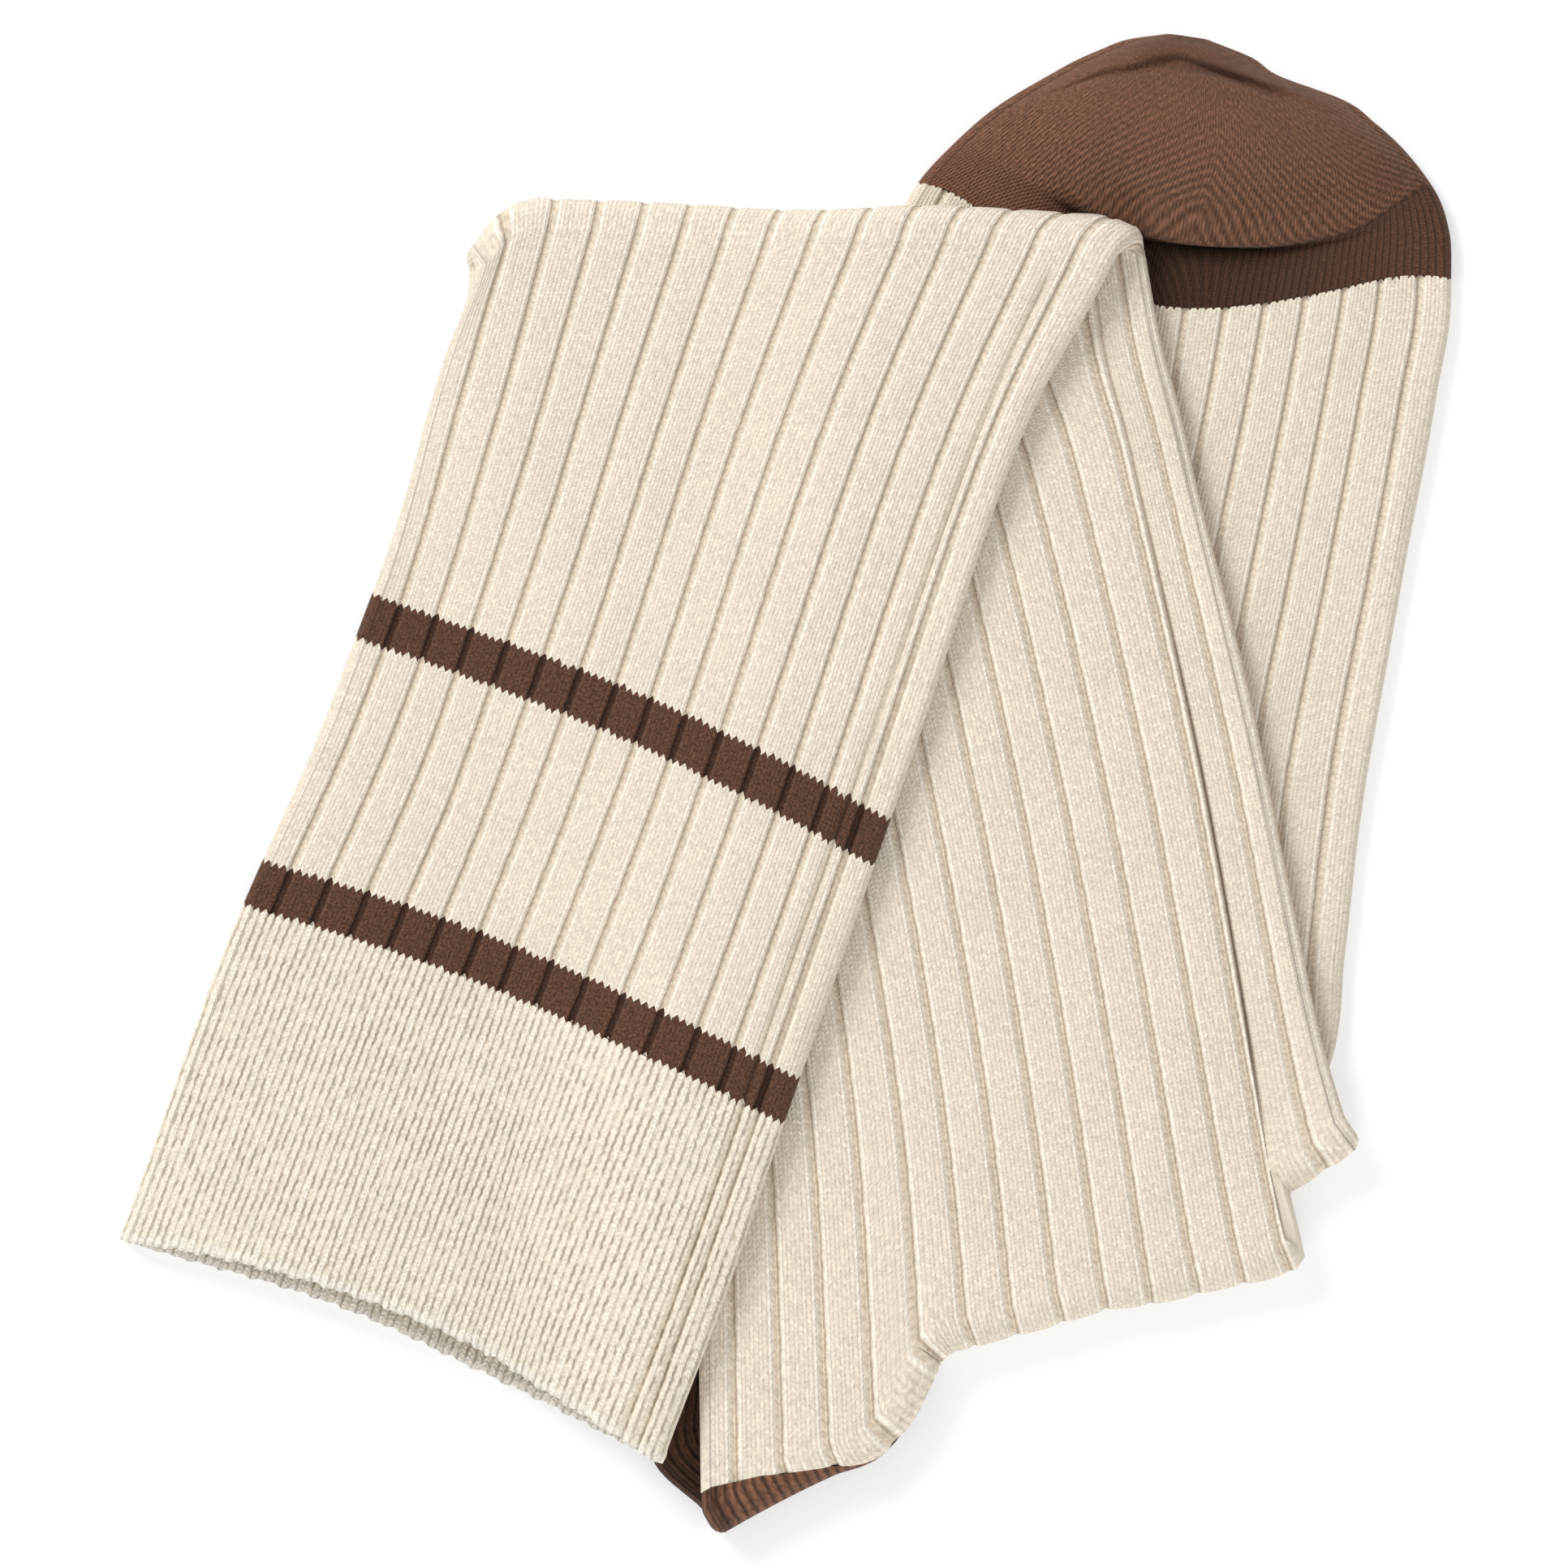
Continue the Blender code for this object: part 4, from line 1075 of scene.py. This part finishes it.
def knit_material(name, kind):
    """kind is rib, cuff, plain or toe."""
    material = bpy.data.materials.new(name)
    nodes = Nodes(material)
    wale, course_mm = knit_coordinates(nodes)
    course = nodes.math("DIVIDE", course_mm, COURSE * MM)
    stitch, leg, gap, away = stitch_height(nodes, wale, course)
    row = nodes.math("FLOOR", nodes.times_plus(away, STITCH_SLANT, course))
    cell = nodes.combine(nodes.math("FLOOR", nodes.times(wale, 2.0)), row)
    speck = nodes.noise(cell, 0.93, 1.0)
    place = nodes.combine(wale, course_mm)
    cloud = nodes.noise(place, 0.11, 3.0)
    fine = nodes.noise(place, 2.6, 2.0)

    brown = 1.0 if kind in ("plain", "toe") else brown_share(nodes, wale, course_mm, away)
    strand = nodes.times_plus(stitch, 0.55, 0.45)
    relief = nodes.times(strand, nodes.times(leg, gap))
    beige, dark, yarn_shade = BEIGE, BROWN, 1.0
    if kind == "rib":
        beige, dark, relief = rib_yarn(nodes, wale, course_mm, course, relief)
    if kind == "cuff":
        beige, dark, relief = cuff_yarn(nodes, wale, course_mm, course, relief)
    if kind == "toe":
        yarn_shade, relief = toe_yarn(nodes, wale, course_mm, relief)
    if kind == "plain":
        yarn_shade, relief = heel_yarn(nodes, wale, relief)

    colour = nodes.mix(brown, beige, dark)
    fleck = nodes.range(speck, 0.30, 0.70, 0.91, 1.09)
    soft = nodes.times_plus(cloud, 0.12, 0.94)
    strength = 0.10 if kind in ("rib", "cuff") else 0.30
    grain = nodes.range(fine, 0.30, 0.70, 1 - strength, 1 + strength)
    if kind == "rib":
        more_on_brown = nodes.times_plus(brown, 3.0, 1.0)
        grain = nodes.times_plus(nodes.minus(grain, 1.0), more_on_brown, 1.0)
    # Painted shade: the colour darkens where the relief of stitches, ridges and grooves is low
    depth = 0.40 if kind in ("plain", "toe") else 0.12
    shade = nodes.times_plus(relief, depth, 1 - depth * 0.50)
    tone = nodes.times(nodes.times(fleck, soft), nodes.times(shade, grain))
    tone = nodes.times(tone, yarn_shade)
    scaled = nodes.tree.nodes.new("ShaderNodeVectorMath")
    scaled.operation = "SCALE"
    nodes.plug(scaled.inputs[0], colour)
    nodes.plug(scaled.inputs["Scale"], tone)
    nodes.plug(nodes.shader.inputs["Base Color"], scaled.outputs[0])

    height = nodes.times_plus(speck, 0.35, relief)
    bump = nodes.tree.nodes.new("ShaderNodeBump")
    bump.inputs["Strength"].default_value = 0.70
    bump.inputs["Distance"].default_value = YARN_HEIGHT
    nodes.plug(bump.inputs["Height"], height)
    nodes.plug(nodes.shader.inputs["Normal"], bump.outputs[0])
    nodes.shader.inputs["Roughness"].default_value = 0.92
    nodes.shader.inputs["Specular IOR Level"].default_value = 0.2
    nodes.shader.inputs["Sheen Weight"].default_value = 0.08
    nodes.shader.inputs["Sheen Roughness"].default_value = 0.5
    return material


def place_piece(made, slot, material):
    made.data.materials.append(material)
    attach(made, "root")
    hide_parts(slot)


def rib_surface(s, across, wall):
    top_turn = 0.50 * bell(s, (TOP_START + TOP_END) / 2, FOLD_SPAN / 2)
    ankle_turn = 0.35 * bell(s, ANKLE_MIDDLE, FOLD_SPAN / 2)
    ribs = rib_relief(across) * (wall != 0) * (1 - top_turn - ankle_turn)
    return ribs + side_creases(s, across, wall) + slow_waves(s, across, wall)


def foot_surface(s, across, wall):
    return np.where(wall < 0, 0.0, rib_relief(across) * (wall > 0) + slow_waves(s, across, wall))


def cuff_surface(s, across, wall):
    phase = ((1 + across) / 2 * WALES_PER_FACE) % 1.0
    wales = WALE_GROOVE * np.abs(2 * phase - 1) ** 2 * (wall != 0)
    from_hem = s - hem_row(across, wall)
    lip = HEM_LIP * bell(from_hem, 0.0008, 0.0007) * (1 + 0.5 * np.sin(across * 173.0))
    return wales + side_creases(s, across, wall) + slow_waves(s, across, wall) - lip


def toe_surface(s, across, wall):
    hollow = BAND_HOLLOW * bell(dome_share(s, across), -0.20, 0.36) * bell(across, -0.22, 0.34)
    return np.where(wall < 0, 0.0, hollow * (wall > 0) + slow_waves(s, across, wall) * 0.5)


def heel_surface(s, across, wall):
    return np.where(wall < 0, 0.0, slow_waves(s, across, wall) * 0.5)


def face_pair(phases, count, extra=()):
    """Columns of the tube's front and of its back."""
    faces = [wall_columns(wall, phases, count) for wall in (1, -1)]
    return [with_extra(face, extra) for face in faces] if extra else faces


def ribbed_ring():
    """Columns round the ribbed tube, with more of them at the pleat and at the side's creases."""
    at_pleat = [PLEAT_COLUMN + step * 0.001 for step in (-9, -6, -4, -3, -2, -1, 0, 1, 2, 3, 4, 6, 9)]
    at_edge = [EDGE_CREASE + step * 0.0022 for step in (-3, -2, 2, 3)]
    at_second = [SECOND_CREASE + step * 0.006 for step in (-1, 0, 1, 2)]
    return ring(*face_pair(RIB_PHASES, RIBS_PER_FACE, at_pleat + at_edge + at_second))


def heel_columns():
    """Columns of the heel, from its right border below round the left edge to that above."""
    end = 2 * HEEL_SHARE - 1
    upper, lower = (
        [c for c in face if c.across < end] + [Column(end, face[0].wall, 0.0)]
        for face in face_pair(PLAIN_PHASES, HEEL_STEPS)
    )
    return lower[::-1] + edge_columns(-1) + upper


def sock_pieces():
    ribbed = ribbed_ring()
    fine = ring(*face_pair(PLAIN_PHASES, WALES_PER_FACE))
    smooth = ring(*face_pair(PLAIN_PHASES, TOE_STEPS))
    foot_ring = ring(wall_columns(1, RIB_PHASES, RIBS_PER_FACE), wall_columns(-1, PLAIN_PHASES, SOLE_STEPS))

    low_stripe = bowed(CUFF_HEIGHT, STRIPE_BOW, STRIPE_BOW)
    band = shifted(low_stripe, STRIPE_HEIGHT)
    high_stripe = shifted(band, BAND_HEIGHT)
    leg = shifted(high_stripe, STRIPE_HEIGHT)
    at_hem = Station(hem_row, 0.0)
    at_low = Station(low_stripe, CUFF_HEIGHT * MM)
    at_band = Station(band, at_low.course + STRIPE_HEIGHT * MM)
    at_high = Station(high_stripe, at_band.course + BAND_HEIGHT * MM)
    at_leg = Station(leg, at_high.course + STRIPE_HEIGHT * MM)
    at_top = Station(straight(TOP_START - TOP_MARGIN), (TOP_START - TOP_MARGIN) * MM)
    fold = ANKLE_MIDDLE * MM
    at_heel = Station(heel_edge(-HEEL_RISE, HEEL_SHOWS, HEEL_TUCK, HEEL_TUCK), fold)
    at_ankle = Station(heel_edge(-HEEL_RISE, HEEL_SHOWS, HEEL_TUCK, LEG_REST), fold)
    at_foot = Station(heel_edge(HEEL_DROP, HEEL_SHARE, HEEL_END, FOOT_REST), fold)
    at_sole = Station(heel_edge(HEEL_DROP, HEEL_SHARE, HEEL_END, HEEL_END), fold + HEEL_SPAN * MM)
    at_toe = Station(toe_row(-1), TOE_START * MM)
    over_toe = tuple(
        Station(toe_row(place), (TOE_START + (place + 1) / 2 * TOE_SPAN) * MM) for place in TOE_PLACES
    )

    rib = knit_material("rib_knit", "rib")
    cuff_knit = knit_material("cuff_knit", "cuff")
    heel_knit = knit_material("heel_knit", "plain")
    toe_knit = knit_material("toe_knit", "toe")
    return (
        Piece("cuff", (at_hem, at_low), fine, cuff_surface, cuff_knit, stride=1, end="rim"),
        Piece("stripe_low", (at_low, at_band), ribbed, rib_surface, rib),
        Piece("band", (at_band, at_high), ribbed, rib_surface, rib),
        Piece("stripe_high", (at_high, at_leg), ribbed, rib_surface, rib),
        Piece("leg", (at_leg, at_top, at_ankle), ribbed, rib_surface, rib, step=0.0013),
        Piece("heel", (at_heel, at_sole), heel_columns(), heel_surface, heel_knit, 0.0008, 3, closed=False),
        Piece("foot", (at_foot, at_toe), foot_ring, foot_surface, rib, step=0.0014),
        Piece("toe", (at_toe, *over_toe), smooth, toe_surface, toe_knit, step=0.0006, end="cap"),
    )


def build_sock():
    made = [(knitted_piece(piece), piece) for piece in sock_pieces()]
    everything = np.concatenate([np.array([v.co for v in thing.data.vertices]) for thing, _ in made])
    centre = (everything.min(axis=0) + everything.max(axis=0)) / 2
    centre[2] = 0.0
    for thing, piece in made:
        thing.data.transform(Matrix.Translation(-Vector(centre)))
        place_piece(thing, piece.slot, piece.material)


def build_floor():
    mesh = bpy.data.meshes.new("floor")
    corners = [(x * FLOOR_SIZE, y * FLOOR_SIZE, 0) for x, y in ((-1, -1), (1, -1), (1, 1), (-1, 1))]
    mesh.from_pydata(corners, [], [(0, 1, 2, 3)])
    floor = bpy.data.objects.new("floor", mesh)
    floor.location.z = -FLOOR_GAP
    bpy.context.scene.collection.objects.link(floor)
    material = bpy.data.materials.new("floor")
    material.use_nodes = True
    shader = material.node_tree.nodes["Principled BSDF"]
    shader.inputs["Base Color"].default_value = (0.55, 0.55, 0.55, 1.0)
    shader.inputs["Roughness"].default_value = 0.7
    shader.inputs["Emission Color"].default_value = (1.0, 1.0, 1.0, 1.0)
    shader.inputs["Emission Strength"].default_value = 0.48
    mesh.materials.append(material)


def area_light(name, place, size, power):
    """A square light that shines at the middle of the floor."""
    data = bpy.data.lights.new(name, "AREA")
    data.shape = "SQUARE"
    data.size = size
    data.energy = power
    light = bpy.data.objects.new(name, data)
    light.location = place
    light.rotation_euler = (-Vector(place)).to_track_quat("-Z", "Y").to_euler()
    bpy.context.scene.collection.objects.link(light)


def build_lights():
    world = bpy.data.worlds.new("studio")
    bpy.context.scene.world = world
    world.use_nodes = True
    sky = world.node_tree.nodes["Background"]
    sky.inputs["Color"].default_value = (1.0, 1.0, 1.0, 1.0)
    sky.inputs["Strength"].default_value = 0.55
    area_light("key", (-0.75, 0.85, 0.95), 0.6, 14.5)
    area_light("fill", (0.9, 0.2, 1.1), 1.0, 2.4)
    area_light("front", (-0.1, -1.0, 0.40), 0.8, 5.0)


def build_camera():
    data = bpy.data.cameras.new("camera")
    data.sensor_width = SENSOR
    data.lens = SENSOR * CAMERA_DISTANCE / (PHOTO_SIDE * PIXEL)
    camera = bpy.data.objects.new("camera", data)
    camera.location = (*VIEW_MIDDLE, CAMERA_DISTANCE + VIEW_RISE)
    bpy.context.scene.collection.objects.link(camera)
    bpy.context.scene.camera = camera


build_sock()
build_floor()
build_lights()
build_camera()
bpy.context.scene.view_settings.view_transform = "Standard"
